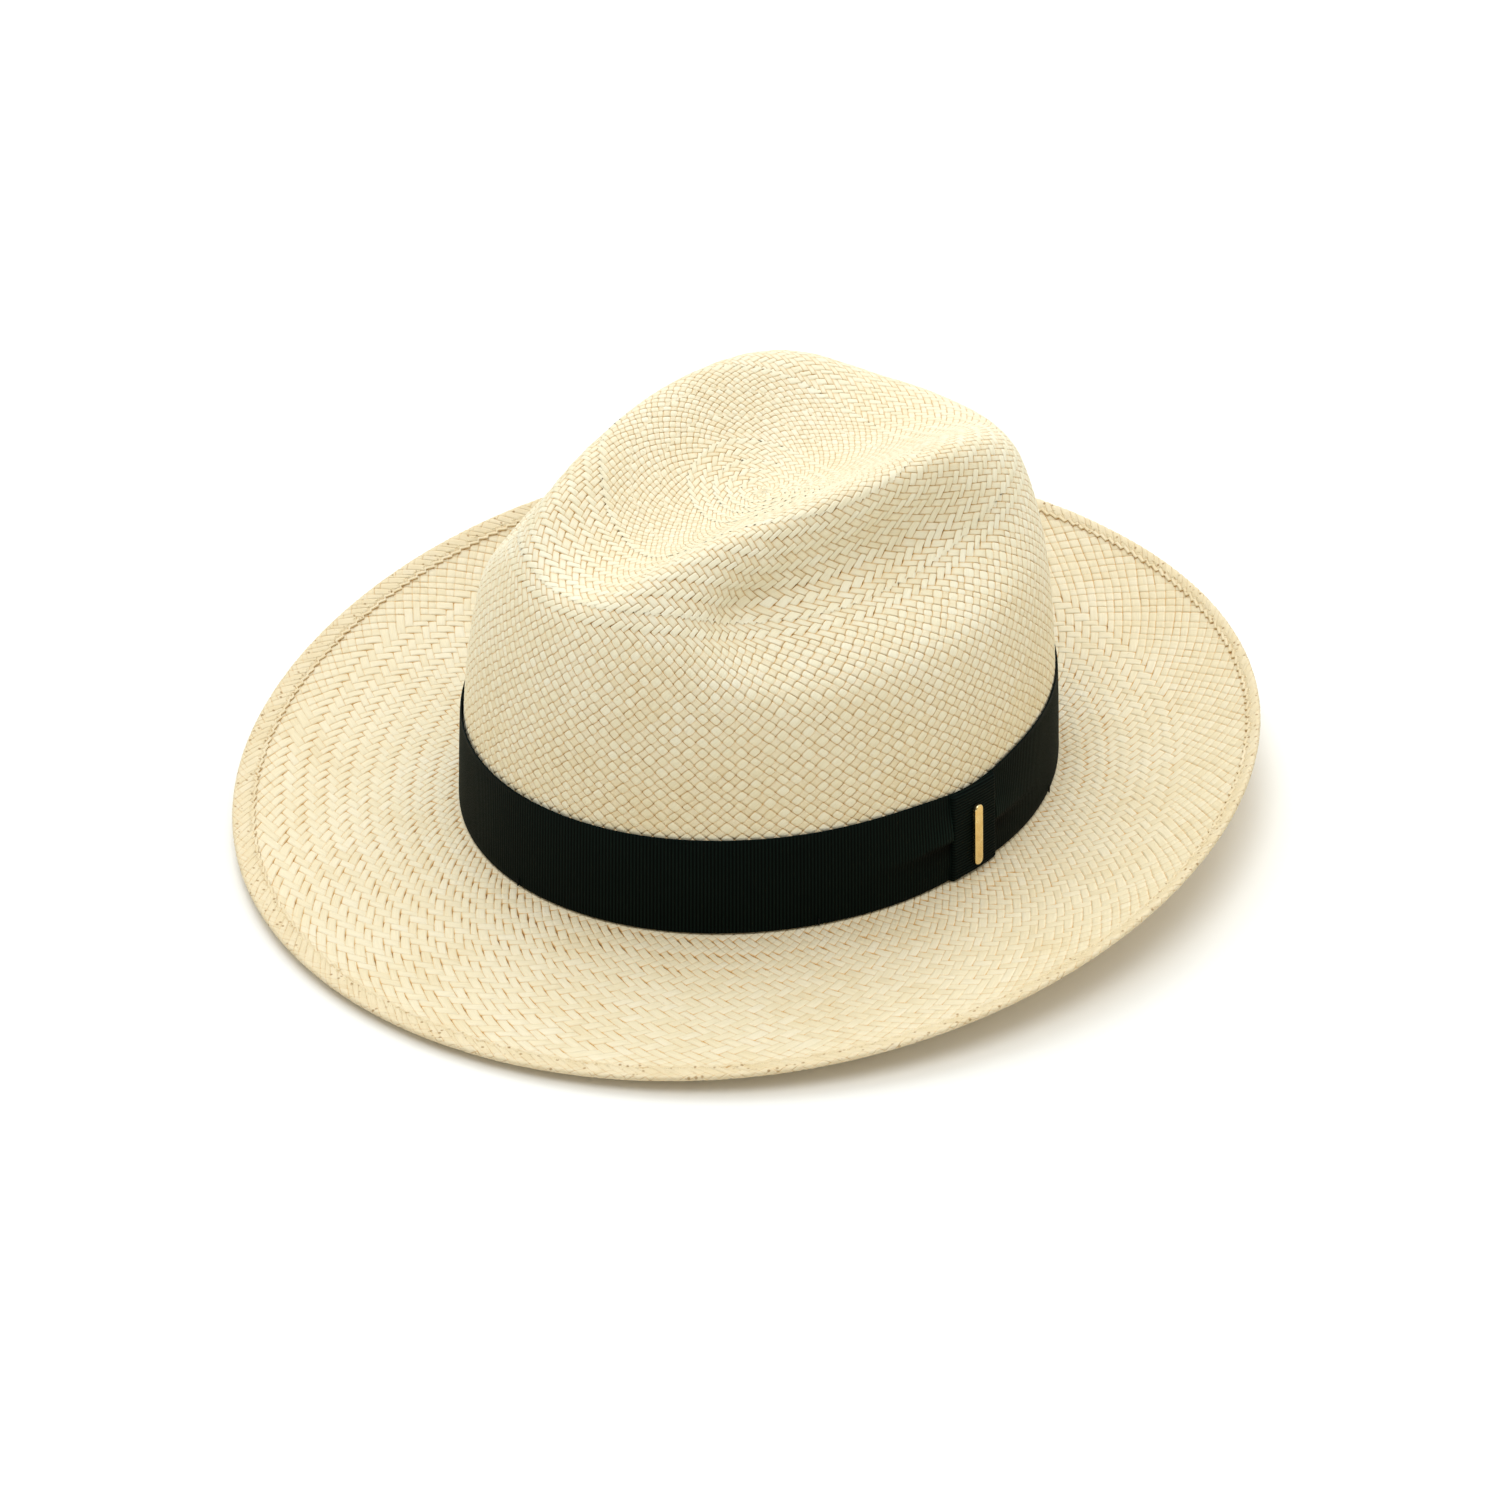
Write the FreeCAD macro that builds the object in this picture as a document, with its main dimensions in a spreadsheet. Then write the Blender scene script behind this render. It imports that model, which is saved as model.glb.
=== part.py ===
import FreeCAD, Part
import math
import os

# A woven straw hat with a creased crown, a turned-up brim, a ribbon band and a sweatband.
# Every sub-part is built in the hat's own frame: Z up, the front towards -Y, the wearer's left
# towards +X, and the origin at the middle of the oval where the crown meets the brim.
# One Placement, worked out from the sheet, then stands them all on the plane Z = 0.

os.makedirs("parts", exist_ok=True)
doc = FreeCAD.newDocument("straw_hat")

# ---------------------------------------------------------------- driving dimensions (mm, degrees)

SIZES = [
    ("crown_half_width", 87.6, "half of the crown's oval across, outside the straw"),
    ("crown_half_length", 100.8, "half of the crown's oval front to back"),
    ("crown_height", 125.7, "height of the uncreased crown"),
    ("side_fullness", 3.21, "superellipse power of the crown's profile at the sides"),
    ("front_fullness", 3.77, "the same at the front"),
    ("back_fullness", 3.79, "the same at the back"),
    ("wall_lean", 0.00058, "how much the crown narrows per mm of height"),
    ("crown_tilt", 0.00079, "how much higher the crown is per mm towards the back"),
    ("groove_floor", 95.1, "height of the top crease's floor at the middle"),
    ("groove_rise", 4.1, "its rise from the middle to one station behind"),
    ("groove_arch", 1.0, "its curvature over one station"),
    ("groove_half_width", 45.4, "from the crease's floor to its ridge, at the middle"),
    ("groove_narrowing", 20.4, "how much narrower that is one station away"),
    ("groove_least_width", 8.0, "the half width the crease keeps at its tips"),
    ("groove_power", 1.57, "shape of the crease's walls, 1 for straight and 2 for round"),
    ("groove_softness", 8.0, "rounding of the crease's floor"),
    ("ridge_blend", 15.2, "rounding of the ridges beside the crease"),
    ("ridge_blend_front", 4.6, "the same at the front tip"),
    ("station", 80.0, "length along the crease that the figures above refer to"),
    ("pinch_height", 93.2, "height of the long dent in each side"),
    ("pinch_depth", 23.9, "its depth"),
    ("pinch_reach_up", 20.5, "how far it spreads upwards"),
    ("pinch_reach_down", 10.6, "how far it spreads downwards"),
    ("pinch_front", -46.6, "where it starts along Y"),
    ("pinch_back", 35.7, "where it ends along Y"),
    ("pinch_fade", 40.0, "how gently its ends fade"),
    ("fold_at", -47.7, "place along Y of the sharper front pinch"),
    ("fold_height", 88.5, "its height"),
    ("fold_depth", 10.3, "its depth"),
    ("fold_length", 14.8, "its spread along Y"),
    ("fold_reach", 11.1, "its spread in height"),
    ("dent_ease", 12.0, "distance from the middle over which a dent comes to full depth"),
    ("straw_thickness", 1.6, "thickness of the woven straw"),
    ("brim_half_width", 154.3, "half of the brim across"),
    ("brim_half_length", 167.0, "half of the brim front to back"),
    ("brim_back_set", 5.9, "how far the brim's middle lies in front of the crown's"),
    ("brim_lift", 14.7, "mean height of the brim's edge above the crown's foot"),
    ("brim_lift_back", 13.6, "how much higher the edge is at the back than the mean"),
    ("brim_lift_sides", 2.1, "how much higher it is at the sides"),
    ("brim_lift_snap", 1.6, "third wave of the edge, which flattens the front corners"),
    ("brim_lift_left", -1.9, "how much higher it is at the wearer's left"),
    ("brim_curl", 1.7, "power of the brim's upward curve"),
    ("brim_dip", 2.2, "how far the front brim sags between the crown and its edge"),
    ("hem_width", 7.5, "width of the folded hem at the brim's edge"),
    ("hem_rise", 1.1, "how far the folded hem stands above the brim"),
    ("stand_height", 3.67, "height of the crown's foot above the table"),
    ("stand_back", 5.6, "how far the crown's middle lies behind the middle of the whole hat"),
    ("gap", 0.3, "air between a ribbon or sweatband and the straw"),
    ("band_bottom", 0.5, "lower edge of the hat band"),
    ("band_top", 32.2, "upper edge of the hat band"),
    ("band_thickness", 0.6, "thickness of the hat band"),
    ("knot_angle", 92.0, "place of the cross wrap round the crown, from the front"),
    ("knot_width", 20.0, "width of the cross wrap"),
    ("knot_thickness", 1.0, "thickness of the cross wrap in front of the band"),
    ("knot_margin", 0.4, "how far the cross wrap stands past the band's edges"),
    ("bar_length", 21.0, "length of the metal bar"),
    ("bar_width", 3.4, "width of the metal bar"),
    ("bar_thickness", 1.3, "thickness of the metal bar"),
    ("bar_gap", 0.15, "air between the metal bar and the cross wrap"),
    ("bar_height", 13.6, "height of the metal bar's middle"),
    ("pin_radius", 0.45, "radius of the bar's two pins"),
    ("pin_clearance", 0.05, "air round a pin in the cross wrap"),
    ("pin_length", 0.9, "length of the pins behind the bar"),
    ("pin_spacing", 14.0, "distance between the pins"),
    ("thread_radius", 0.25, "radius of the sewing threads"),
    ("thread_inset", 1.6, "distance of the hem's stitching from the hem's inner edge"),
    ("tack_count", 6, "tack stitches that hold the band to the straw"),
    ("tack_length", 2.4, "length of a tack stitch"),
    ("sweatband_bottom", 1.4, "lower edge of the sweatband"),
    ("sweatband_top", 35.6, "upper edge of the sweatband"),
    ("sweatband_thickness", 1.0, "thickness of the sweatband"),
    ("piping_radius", 1.15, "outside radius of the piping below the sweatband"),
    ("piping_bore", 0.8, "inside radius of the piping"),
    ("piping_height", -0.1, "height of the piping's middle"),
    ("reed_radius", 0.75, "radius of the reed inside the piping"),
    ("seam_height", 2.0, "height of the stitching above the sweatband's lower edge"),
]

sheet = doc.addObject("Spreadsheet::Sheet", "sizes")
for row, (alias, value, meaning) in enumerate(SIZES, start=1):
    sheet.set(f"A{row}", alias)
    sheet.set(f"B{row}", str(value))
    sheet.setAlias(f"B{row}", alias)
    sheet.set(f"C{row}", meaning)
doc.recompute()


def size(alias):
    """The value of one driving dimension, for a shape that is worked out in code."""
    return float(sheet.get(alias))


STAND = FreeCAD.Vector(0, size("stand_back"), size("stand_height"))


def finish(feature, label):
    """Names a sub-part and stands it on the table with all the others."""
    feature.Label = label
    feature.setExpression(".Placement.Base.y", "sizes.stand_back")
    feature.setExpression(".Placement.Base.z", "sizes.stand_height")
    return feature


# ---------------------------------------------------------------- the crown's and brim's form


def soft_step(value):
    """Rises smoothly from 0 to 1 while value goes from 0 to 1."""
    value = min(max(value, 0.0), 1.0)
    return value**3 * (value * (6 * value - 15) + 10)


def soft_min(first, second, blend):
    """The smaller of two heights, with a rounded change from one to the other."""
    share = min(max(0.5 + 0.5 * (second - first) / blend, 0.0), 1.0)
    return second * (1 - share) + first * share - blend * share * (1 - share)


def soft_floor(value, least, blend=4.0):
    """Keeps value above least, with a rounded change."""
    return least + blend * math.log1p(math.exp((value - least) / blend))


def block_point(angle, lift):
    """A point of the smooth block. lift is 0 at the crown's middle and a quarter turn at its foot."""
    ahead = math.cos(angle)
    end = "front_fullness" if ahead > 0 else "back_fullness"
    power = size("side_fullness") + (size(end) - size("side_fullness")) * ahead**2
    reach = math.sin(lift) ** (2 / power)
    height = size("crown_height") * max(math.cos(lift), 0.0) ** (2 / power)
    reach *= 1 - size("wall_lean") * height
    across = size("crown_half_width") * math.sin(angle) * reach
    along = -size("crown_half_length") * ahead * reach
    return across, along, height * (1 + size("crown_tilt") * along)


def dent(across, along, height):
    """How far the sides are pushed in at a point: a long soft dent and a sharper front pinch."""
    above = height - size("pinch_height")
    spread = size("pinch_reach_up") if above > 0 else size("pinch_reach_down")
    start = soft_step((along - size("pinch_front")) / size("pinch_fade") / 2 + 0.5)
    end = soft_step((size("pinch_back") - along) / size("pinch_fade") / 2 + 0.5)
    long_dent = size("pinch_depth") * math.exp(-((above / spread) ** 2)) * start * end
    ahead = (along - size("fold_at")) / size("fold_length")
    over = (height - size("fold_height")) / size("fold_reach")
    fold = size("fold_depth") * math.exp(-(ahead**2) - over**2)
    return (long_dent + fold) * math.tanh(across / size("dent_ease"))


def groove_height(across, along):
    """Height of the top crease's surface, and how softly it meets the block there."""
    share = along / size("station")
    half_width = size("groove_half_width") - size("groove_narrowing") * share**2
    half_width = soft_floor(half_width, size("groove_least_width"))
    inside = (half_width / size("crown_half_width")) ** 2 + (along / size("crown_half_length")) ** 2
    power = size("side_fullness")
    ridge = size("crown_height") * (1 - min(inside, 0.98) ** (power / 2)) ** (1 / power)
    floor = size("groove_floor") + size("groove_rise") * share + size("groove_arch") * share**2
    soft = size("groove_softness") ** 2
    wall = ((across**2 + soft) / (half_width**2 + soft)) ** (size("groove_power") / 2)
    blend = size("ridge_blend")
    blend += (size("ridge_blend_front") - blend) * soft_step((-share - 0.2) / 0.8)
    return floor + soft_floor(ridge - floor, 3.0) * wall, blend


def crown_point(angle, lift):
    """A point on the outside of the creased crown."""
    across, along, height = block_point(angle, lift)
    pushed_in = dent(across, along, height)
    groove, blend = groove_height(across, along)
    return FreeCAD.Vector(across - pushed_in, along, soft_min(height, groove, blend))


def brim_point(angle, share):
    """A point on top of the brim, share being 0 at the crown's foot and 1 at the edge."""
    side, ahead = math.sin(angle), math.cos(angle)
    foot = FreeCAD.Vector(size("crown_half_width") * side, -size("crown_half_length") * ahead, 0)
    rise = size("brim_lift") - size("brim_lift_back") * ahead
    rise -= size("brim_lift_sides") * math.cos(2 * angle)
    rise += size("brim_lift_snap") * math.cos(3 * angle) + size("brim_lift_left") * side
    edge = FreeCAD.Vector(size("brim_half_width") * side, -size("brim_half_length") * ahead, 0)
    edge.y -= size("brim_back_set")
    point = foot + (edge - foot) * share
    sag = size("brim_dip") * (0.75 + 0.25 * ahead) * 4 * share * (1 - share)
    point.z = rise * share ** size("brim_curl") - sag
    return point


# ---------------------------------------------------------------- the straw body

ANGLES = 120  # columns of poles round the hat
CROWN_ROWS = 46  # rows of poles from the crown's middle to its foot
BRIM_ROWS = 18  # rows of poles from the foot to the hem
FINE_STEP = 1.0  # mm between rows where the surface turns sharply
PROFILE_STEPS = 150


def crown_profile(angle):
    """Points down the crown at equal distances, ending at its foot."""
    lifts = [(step / PROFILE_STEPS) * math.pi / 2 for step in range(PROFILE_STEPS + 1)]
    fine = [crown_point(angle, lift) for lift in lifts]
    lengths = [0.0]
    for before, after in zip(fine, fine[1:]):
        lengths.append(lengths[-1] + (after - before).Length)
    last_gap = FINE_STEP
    targets = [(lengths[-1] - last_gap) * row / CROWN_ROWS for row in range(CROWN_ROWS + 1)]
    targets.append(lengths[-1])
    points, index = [], 0
    for target in targets:
        while index < PROFILE_STEPS - 1 and lengths[index + 1] < target:
            index += 1
        share = (target - lengths[index]) / (lengths[index + 1] - lengths[index])
        points.append(fine[index] + (fine[index + 1] - fine[index]) * min(share, 1.0))
    return points


def brim_shares(angle):
    """Places from beside the crown's foot to the brim's edge, close together at the hem's step."""
    width = (brim_point(angle, 1) - brim_point(angle, 0)).Length
    hem = 1 - size("hem_width") / width
    fine = FINE_STEP / width
    shares = [fine] + [fine + (hem - 2 * fine) * row / BRIM_ROWS for row in range(1, BRIM_ROWS)]
    return shares + [hem - fine, hem, hem + fine, hem + 3 * fine, 1 - 2 * fine, 1 - fine, 1], hem


def turn_of(column):
    """The angle of one column of poles, from the front towards the wearer's left."""
    return 2 * math.pi * column / ANGLES


def hem_steps(angle):
    """How far the folded hem stands above each point of one profile."""
    shares, hem = brim_shares(angle)
    fine = shares[0]
    rises = [size("hem_rise") * soft_step((share - hem) / (2 * fine) + 0.5) for share in shares]
    return [0.0] * (CROWN_ROWS + 2) + rises


def straw_skin():
    """One smooth closed surface: out over the crown and brim, round the edge and back inside."""
    sheets = []
    for column in range(ANGLES):
        angle = turn_of(column)
        brim = [brim_point(angle, share) for share in brim_shares(angle)[0]]
        sheets.append(crown_profile(angle) + brim)
    columns = []
    for column, profile in enumerate(sheets):
        left, right = sheets[column - 1], sheets[(column + 1) % ANGLES]
        last = len(profile) - 1
        inside = [profile[0] - FreeCAD.Vector(0, 0, size("straw_thickness"))]
        for row in range(1, last + 1):
            down = profile[min(row + 1, last)] - profile[row - 1]
            normal = down.cross(right[row] - left[row]).normalize()
            inside.append(profile[row] - normal * size("straw_thickness"))
        rises = hem_steps(turn_of(column))
        outside = [point + FreeCAD.Vector(0, 0, rise) for point, rise in zip(profile, rises)]
        edge = (outside[-1] + inside[-1]) * 0.5
        columns.append(outside + [edge] + inside[::-1])
    return columns


def smooth_solid(columns, ring=False):
    """A solid inside a cubic surface that is closed round the columns.

    The surface also closes on itself down the rows for a ring, and ends in a point otherwise.
    """
    degree = 3
    rows = len(columns[0])
    around_knots = list(range(len(columns) + 1))
    down_knots = list(range(rows + 1 if ring else rows - degree + 1))
    ends = 1 if ring else degree + 1
    down_mults = [ends] + [1] * (len(down_knots) - 2) + [ends]
    surface = Part.BSplineSurface()
    surface.buildFromPolesMultsKnots(
        columns, [1] * len(around_knots), down_mults, around_knots, down_knots,
        True, ring, degree, degree,
    )
    solid = Part.Solid(sewn_patches(surface))
    if solid.Volume < 0:
        solid.reverse()
    return solid


PATCHES = (4, 6)  # faces round and down a surface, so that its volume is measured exactly


def sewn_patches(surface):
    """The shell of a surface, split into smaller faces of a few dozen spans each."""
    around, down = surface.getUKnots(), surface.getVKnots()
    faces = []
    for column in range(PATCHES[0]):
        u_range = [around[(len(around) - 1) * (column + end) // PATCHES[0]] for end in (0, 1)]
        for row in range(PATCHES[1]):
            v_range = [down[(len(down) - 1) * (row + end) // PATCHES[1]] for end in (0, 1)]
            patch = surface.copy()
            patch.segment(*u_range, *v_range)
            faces.append(patch.toShape())
    sewn = Part.makeCompound(faces)
    sewn.sewShape()
    return sewn.Shells[0]


straw = doc.addObject("Part::Feature", "straw")
straw.Shape = smooth_solid(straw_skin())
finish(straw, "straw_body")

# ---------------------------------------------------------------- ovals that follow the crown


def crown_scale(height, fullness):
    """Expression for the crown's size at a height, as a share of its size at the foot."""
    power = f"sizes.{fullness}"
    rounded = f"(1 - (abs({height}) / sizes.crown_height) ^ {power}) ^ (1 / {power})"
    return f"{rounded} * (1 - sizes.wall_lean * ({height}))"


def oval(name, height, offset):
    """An ellipse round the crown at a height, a given distance outside the straw."""
    ellipse = doc.addObject("Part::Ellipse", name)
    ellipse.Placement.Rotation = FreeCAD.Rotation(FreeCAD.Vector(0, 0, 1), 90)
    ellipse.setExpression(".Placement.Base.z", height)
    long_scale = crown_scale(height, "front_fullness")
    short_scale = crown_scale(height, "side_fullness")
    ellipse.setExpression("MajorRadius", f"sizes.crown_half_length * {long_scale} + {offset}")
    ellipse.setExpression("MinorRadius", f"sizes.crown_half_width * {short_scale} + {offset}")
    return ellipse


def oval_block(name, low, high, offset):
    """A solid plug that follows the crown between two heights, a distance outside the straw."""
    middle = f"(({low}) + ({high})) / 2"
    loft = doc.addObject("Part::Loft", name)
    loft.Sections = [
        oval(f"{name}_foot", low, offset),
        oval(f"{name}_middle", middle, offset),
        oval(f"{name}_head", high, offset),
    ]
    loft.Solid = True
    return loft


def cut(name, base, tool):
    feature = doc.addObject("Part::Cut", name)
    feature.Base = base
    feature.Tool = tool
    return feature


def common(name, base, tool):
    feature = doc.addObject("Part::Common", name)
    feature.Base = base
    feature.Tool = tool
    return feature


def oval_strip(name, low, high, inner, outer):
    """A ribbon that stands round the crown between two heights and two offsets."""
    body = oval_block(f"{name}_outer", low, high, outer)
    past = f"({high}) + 1"
    hollow = oval_block(f"{name}_inner", f"({low}) - 1", past, inner)
    return cut(name, body, hollow)


def oval_thread(name, height, offset, radius):
    """A round thread or tube that runs once round the crown."""
    spine = oval(f"{name}_path", height, offset)
    profile = doc.addObject("Part::Circle", f"{name}_profile")
    profile.Placement.Rotation = FreeCAD.Rotation(FreeCAD.Vector(0, 1, 0), 90)
    profile.setExpression("Radius", radius)
    profile.setExpression(".Placement.Base.y", f"{spine.Name}.MajorRadius / 1 mm")
    profile.setExpression(".Placement.Base.z", height)
    sweep = doc.addObject("Part::Sweep", name)
    sweep.Sections = [profile]
    sweep.Spine = (spine, ["Edge1"])
    sweep.Solid = True
    sweep.Frenet = True
    return sweep


# ---------------------------------------------------------------- hat band and cross wrap

BAND_INNER = "sizes.gap"
BAND_OUTER = "(sizes.gap + sizes.band_thickness)"
KNOT_INNER = "(2 * sizes.gap + sizes.band_thickness)"
KNOT_OUTER = "(2 * sizes.gap + sizes.band_thickness + sizes.knot_thickness)"

band = oval_strip("band", "sizes.band_bottom", "sizes.band_top", BAND_INNER, BAND_OUTER)
finish(band, "hat_band")


def knot_direction():
    """The crown's outward direction at the cross wrap, as degrees about Z from +X."""
    angle = math.radians(size("knot_angle"))
    outward_x = math.sin(angle) / size("crown_half_width")
    outward_y = -math.cos(angle) / size("crown_half_length")
    return math.degrees(math.atan2(outward_y, outward_x))


def knot_centre():
    """The point of the straw behind the middle of the cross wrap's foot."""
    angle = math.radians(size("knot_angle"))
    x = size("crown_half_width") * math.sin(angle)
    y = -size("crown_half_length") * math.cos(angle)
    return FreeCAD.Vector(x, y, 0)


def cross_wrap():
    """A short ribbon wrapped over the band: a wide C that hooks over both of its edges."""
    low = "sizes.band_bottom - sizes.knot_margin"
    high = "sizes.band_top + sizes.knot_margin"
    outer = oval_block("wrap_outer", low, high, KNOT_OUTER)
    window = doc.addObject("Part::Box", "wrap_window")
    window.setExpression("Length", "sizes.knot_width")
    window.setExpression("Width", "sizes.knot_width")
    window.setExpression("Height", "sizes.band_top * 2")
    turn = FreeCAD.Rotation(FreeCAD.Vector(0, 0, 1), knot_direction())
    half, below = size("knot_width") / 2, size("band_top") / 2
    corner = turn.multVec(FreeCAD.Vector(-half, -half, -below))
    window.Placement = FreeCAD.Placement(knot_centre() + corner, turn)
    blank = common("wrap_blank", outer, window)
    lower_lip = "sizes.band_bottom - sizes.gap"
    upper_lip = "sizes.band_top + sizes.gap"
    room = oval_block("wrap_room", lower_lip, upper_lip, KNOT_INNER)
    straw_room = oval_block("wrap_straw", f"{low} - 1", f"{high} + 1", BAND_INNER)
    hooked = cut("wrap_hooked", cut("wrap_open", blank, room), straw_room)
    return cut("wrap", hooked, pin_holes())


def bar_frame():
    """Where the metal bar lies on the cross wrap: its Z points outwards and its Y up the wall."""
    height, full_height = size("bar_height"), size("crown_height")
    power, lean = size("side_fullness"), size("wall_lean")
    scale = (1 - (height / full_height) ** power) ** (1 / power) * (1 - lean * height)
    rounding = (height / full_height) ** (power - 1) / full_height
    slope = math.degrees(math.atan(size("crown_half_width") * (lean + rounding)))
    outwards = size("crown_half_width") * (scale - 1)
    outwards += 2 * size("gap") + size("band_thickness") + size("knot_thickness") + size("bar_gap")
    about_z = FreeCAD.Rotation(FreeCAD.Vector(0, 0, 1), knot_direction())
    place = knot_centre() + about_z.multVec(FreeCAD.Vector(outwards, 0, 0))
    place.z = height
    facing = FreeCAD.Rotation(FreeCAD.Vector(0, 0, 1), knot_direction() + 90)
    upright = FreeCAD.Rotation(FreeCAD.Vector(1, 0, 0), 90 - slope)
    return FreeCAD.Placement(place, facing.multiply(upright))


def pin_holes():
    """Two round holes through the cross wrap for the bar's pins."""
    holes = []
    for side in (-1, 1):
        hole = doc.addObject("Part::Cylinder", f"pin_hole_{side + 2}")
        hole.setExpression("Radius", "sizes.pin_radius + sizes.pin_clearance")
        hole.setExpression("Height", "sizes.knot_thickness * 4")
        shift = FreeCAD.Vector(0, side * size("pin_spacing") / 2, -2 * size("knot_thickness"))
        hole.Placement = bar_frame().multiply(FreeCAD.Placement(shift, FreeCAD.Rotation()))
        holes.append(hole)
    pair = doc.addObject("Part::MultiFuse", "pin_hole_pair")
    pair.Shapes = holes
    return pair


wrap = finish(cross_wrap(), "band_cross_wrap")

# ---------------------------------------------------------------- metal bar on the cross wrap


def plane_of(body, role):
    return [item for item in body.Origin.OriginFeatures if item.Role == role][0]


def slot_outline(sketch, half_length, half_width):
    """A long outline with round ends, up the sketch's Y axis."""
    top = FreeCAD.Vector(0, half_length - half_width, 0)
    axis = FreeCAD.Vector(0, 0, 1)
    right, left = FreeCAD.Vector(half_width, 0, 0), FreeCAD.Vector(-half_width, 0, 0)
    sketch.addGeometry(Part.ArcOfCircle(Part.Circle(top, axis, half_width), 0, math.pi))
    sketch.addGeometry(Part.LineSegment(top + left, left - top))
    sketch.addGeometry(Part.ArcOfCircle(Part.Circle(-top, axis, half_width), math.pi, 2 * math.pi))
    sketch.addGeometry(Part.LineSegment(right - top, top + right))


def metal_bar():
    """A plain bar with round ends and two pins behind it."""
    body = doc.addObject("PartDesign::Body", "bar")
    outline = body.newObject("Sketcher::SketchObject", "bar_outline")
    outline.AttachmentSupport = [(plane_of(body, "XY_Plane"), "")]
    outline.MapMode = "FlatFace"
    slot_outline(outline, size("bar_length") / 2, size("bar_width") / 2)
    pad = body.newObject("PartDesign::Pad", "bar_plate")
    pad.Profile = outline
    pad.setExpression("Length", "sizes.bar_thickness")
    pin_sketch = body.newObject("Sketcher::SketchObject", "bar_pins")
    pin_sketch.AttachmentSupport = [(plane_of(body, "XY_Plane"), "")]
    pin_sketch.MapMode = "FlatFace"
    for side in (-1, 1):
        centre = FreeCAD.Vector(0, side * size("pin_spacing") / 2, 0)
        circle = Part.Circle(centre, FreeCAD.Vector(0, 0, 1), size("pin_radius"))
        pin_sketch.addGeometry(circle)
    pins = body.newObject("PartDesign::Pad", "bar_pin_pair")
    pins.Profile = pin_sketch
    pins.Reversed = True
    pins.setExpression("Length", "sizes.pin_length")
    doc.recompute()
    rounding = body.newObject("PartDesign::Fillet", "bar_rounding")
    rounding.Base = (pins, outer_edges(pins.Shape, size("bar_thickness")))
    rounding.setExpression("Radius", "sizes.bar_thickness * 0.35")
    body.Tip = rounding
    frame = bar_frame()
    body.Placement = FreeCAD.Placement(frame.Base + STAND, frame.Rotation)
    body.Label = "metal_bar"
    return body


def outer_edges(shape, height):
    """Names of the edges that lie flat at a height: the rim of the bar's front face."""
    names = []
    for number, edge in enumerate(shape.Edges, start=1):
        box = edge.BoundBox
        if abs(box.ZMin - height) < 1e-6 and abs(box.ZMax - height) < 1e-6:
            names.append(f"Edge{number}")
    return names


bar = metal_bar()

# ---------------------------------------------------------------- threads


THREAD_SIDES = 8
POLE_REACH = 3 / (2 + math.cos(2 * math.pi / THREAD_SIDES))  # poles lie outside the round thread


def hem_thread():
    """The row of stitching that holds the folded hem down, along its inner edge."""
    points = []
    for column in range(ANGLES):
        angle = turn_of(column)
        width = (brim_point(angle, 1) - brim_point(angle, 0)).Length
        point = brim_point(angle, 1 - (size("hem_width") - size("thread_inset")) / width)
        point.z += size("hem_rise") + size("thread_radius") + size("gap")
        points.append(point)
    columns = []
    for column, point in enumerate(points):
        along = (points[(column + 1) % ANGLES] - points[column - 1]).normalize()
        side = along.cross(FreeCAD.Vector(0, 0, 1)).normalize()
        up = side.cross(along)
        ring = []
        for corner in range(THREAD_SIDES):
            turn = 2 * math.pi * corner / THREAD_SIDES
            spoke = side * math.cos(turn) + up * math.sin(turn)
            ring.append(point + spoke * (size("thread_radius") * POLE_REACH))
        columns.append(ring)
    return smooth_solid(columns, ring=True)


def tack_stitches():
    """Short stitches up the lower edge of the band, spread evenly round the crown."""
    stitches = []
    count = int(size("tack_count"))
    offset = size("gap") + size("band_thickness") + size("thread_radius") + 0.1
    for number in range(count):
        angle = 2 * math.pi * number / count
        x = (size("crown_half_width") + offset) * math.sin(angle)
        y = -(size("crown_half_length") + offset) * math.cos(angle)
        base = FreeCAD.Vector(x, y, size("band_bottom") + 0.2)
        stitch = Part.makeCylinder(size("thread_radius"), size("tack_length"), base)
        stitches.append(stitch)
    return Part.makeCompound(stitches)


hem_stitching = doc.addObject("Part::Feature", "hem_stitching")
hem_stitching.Shape = hem_thread()
finish(hem_stitching, "hem_stitching")

tacks = doc.addObject("Part::Feature", "tacks")
tacks.Shape = tack_stitches()
finish(tacks, "band_tack_stitches")

# ---------------------------------------------------------------- sweatband inside the crown

SWEAT_OUTER = "(-sizes.straw_thickness - 1.5 * sizes.gap)"
SWEAT_INNER = f"({SWEAT_OUTER} - sizes.sweatband_thickness)"
SEAM_OFFSET = f"({SWEAT_INNER} - sizes.thread_radius - sizes.gap)"
PIPING_OFFSET = f"({SWEAT_OUTER} - sizes.piping_radius)"

sweatband = oval_strip(
    "sweat", "sizes.sweatband_bottom", "sizes.sweatband_top", SWEAT_INNER, SWEAT_OUTER
)
finish(sweatband, "sweatband")

tube = oval_thread("piping_tube", "sizes.piping_height", PIPING_OFFSET, "sizes.piping_radius")
bore = oval_thread("piping_hole", "sizes.piping_height", PIPING_OFFSET, "sizes.piping_bore")
finish(cut("piping", tube, bore), "sweatband_piping")

reed = oval_thread("reed", "sizes.piping_height", PIPING_OFFSET, "sizes.reed_radius")
finish(reed, "sweatband_reed")

seam_level = "sizes.sweatband_bottom + sizes.seam_height"
seam = oval_thread("seam", seam_level, SEAM_OFFSET, "sizes.thread_radius")
finish(seam, "sweatband_stitching")

# ---------------------------------------------------------------- checks and export

NODES = [
    "straw_body", "hem_stitching", "hat_band", "band_cross_wrap", "metal_bar",
    "band_tack_stitches", "sweatband", "sweatband_piping", "sweatband_reed",
    "sweatband_stitching",
]

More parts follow.
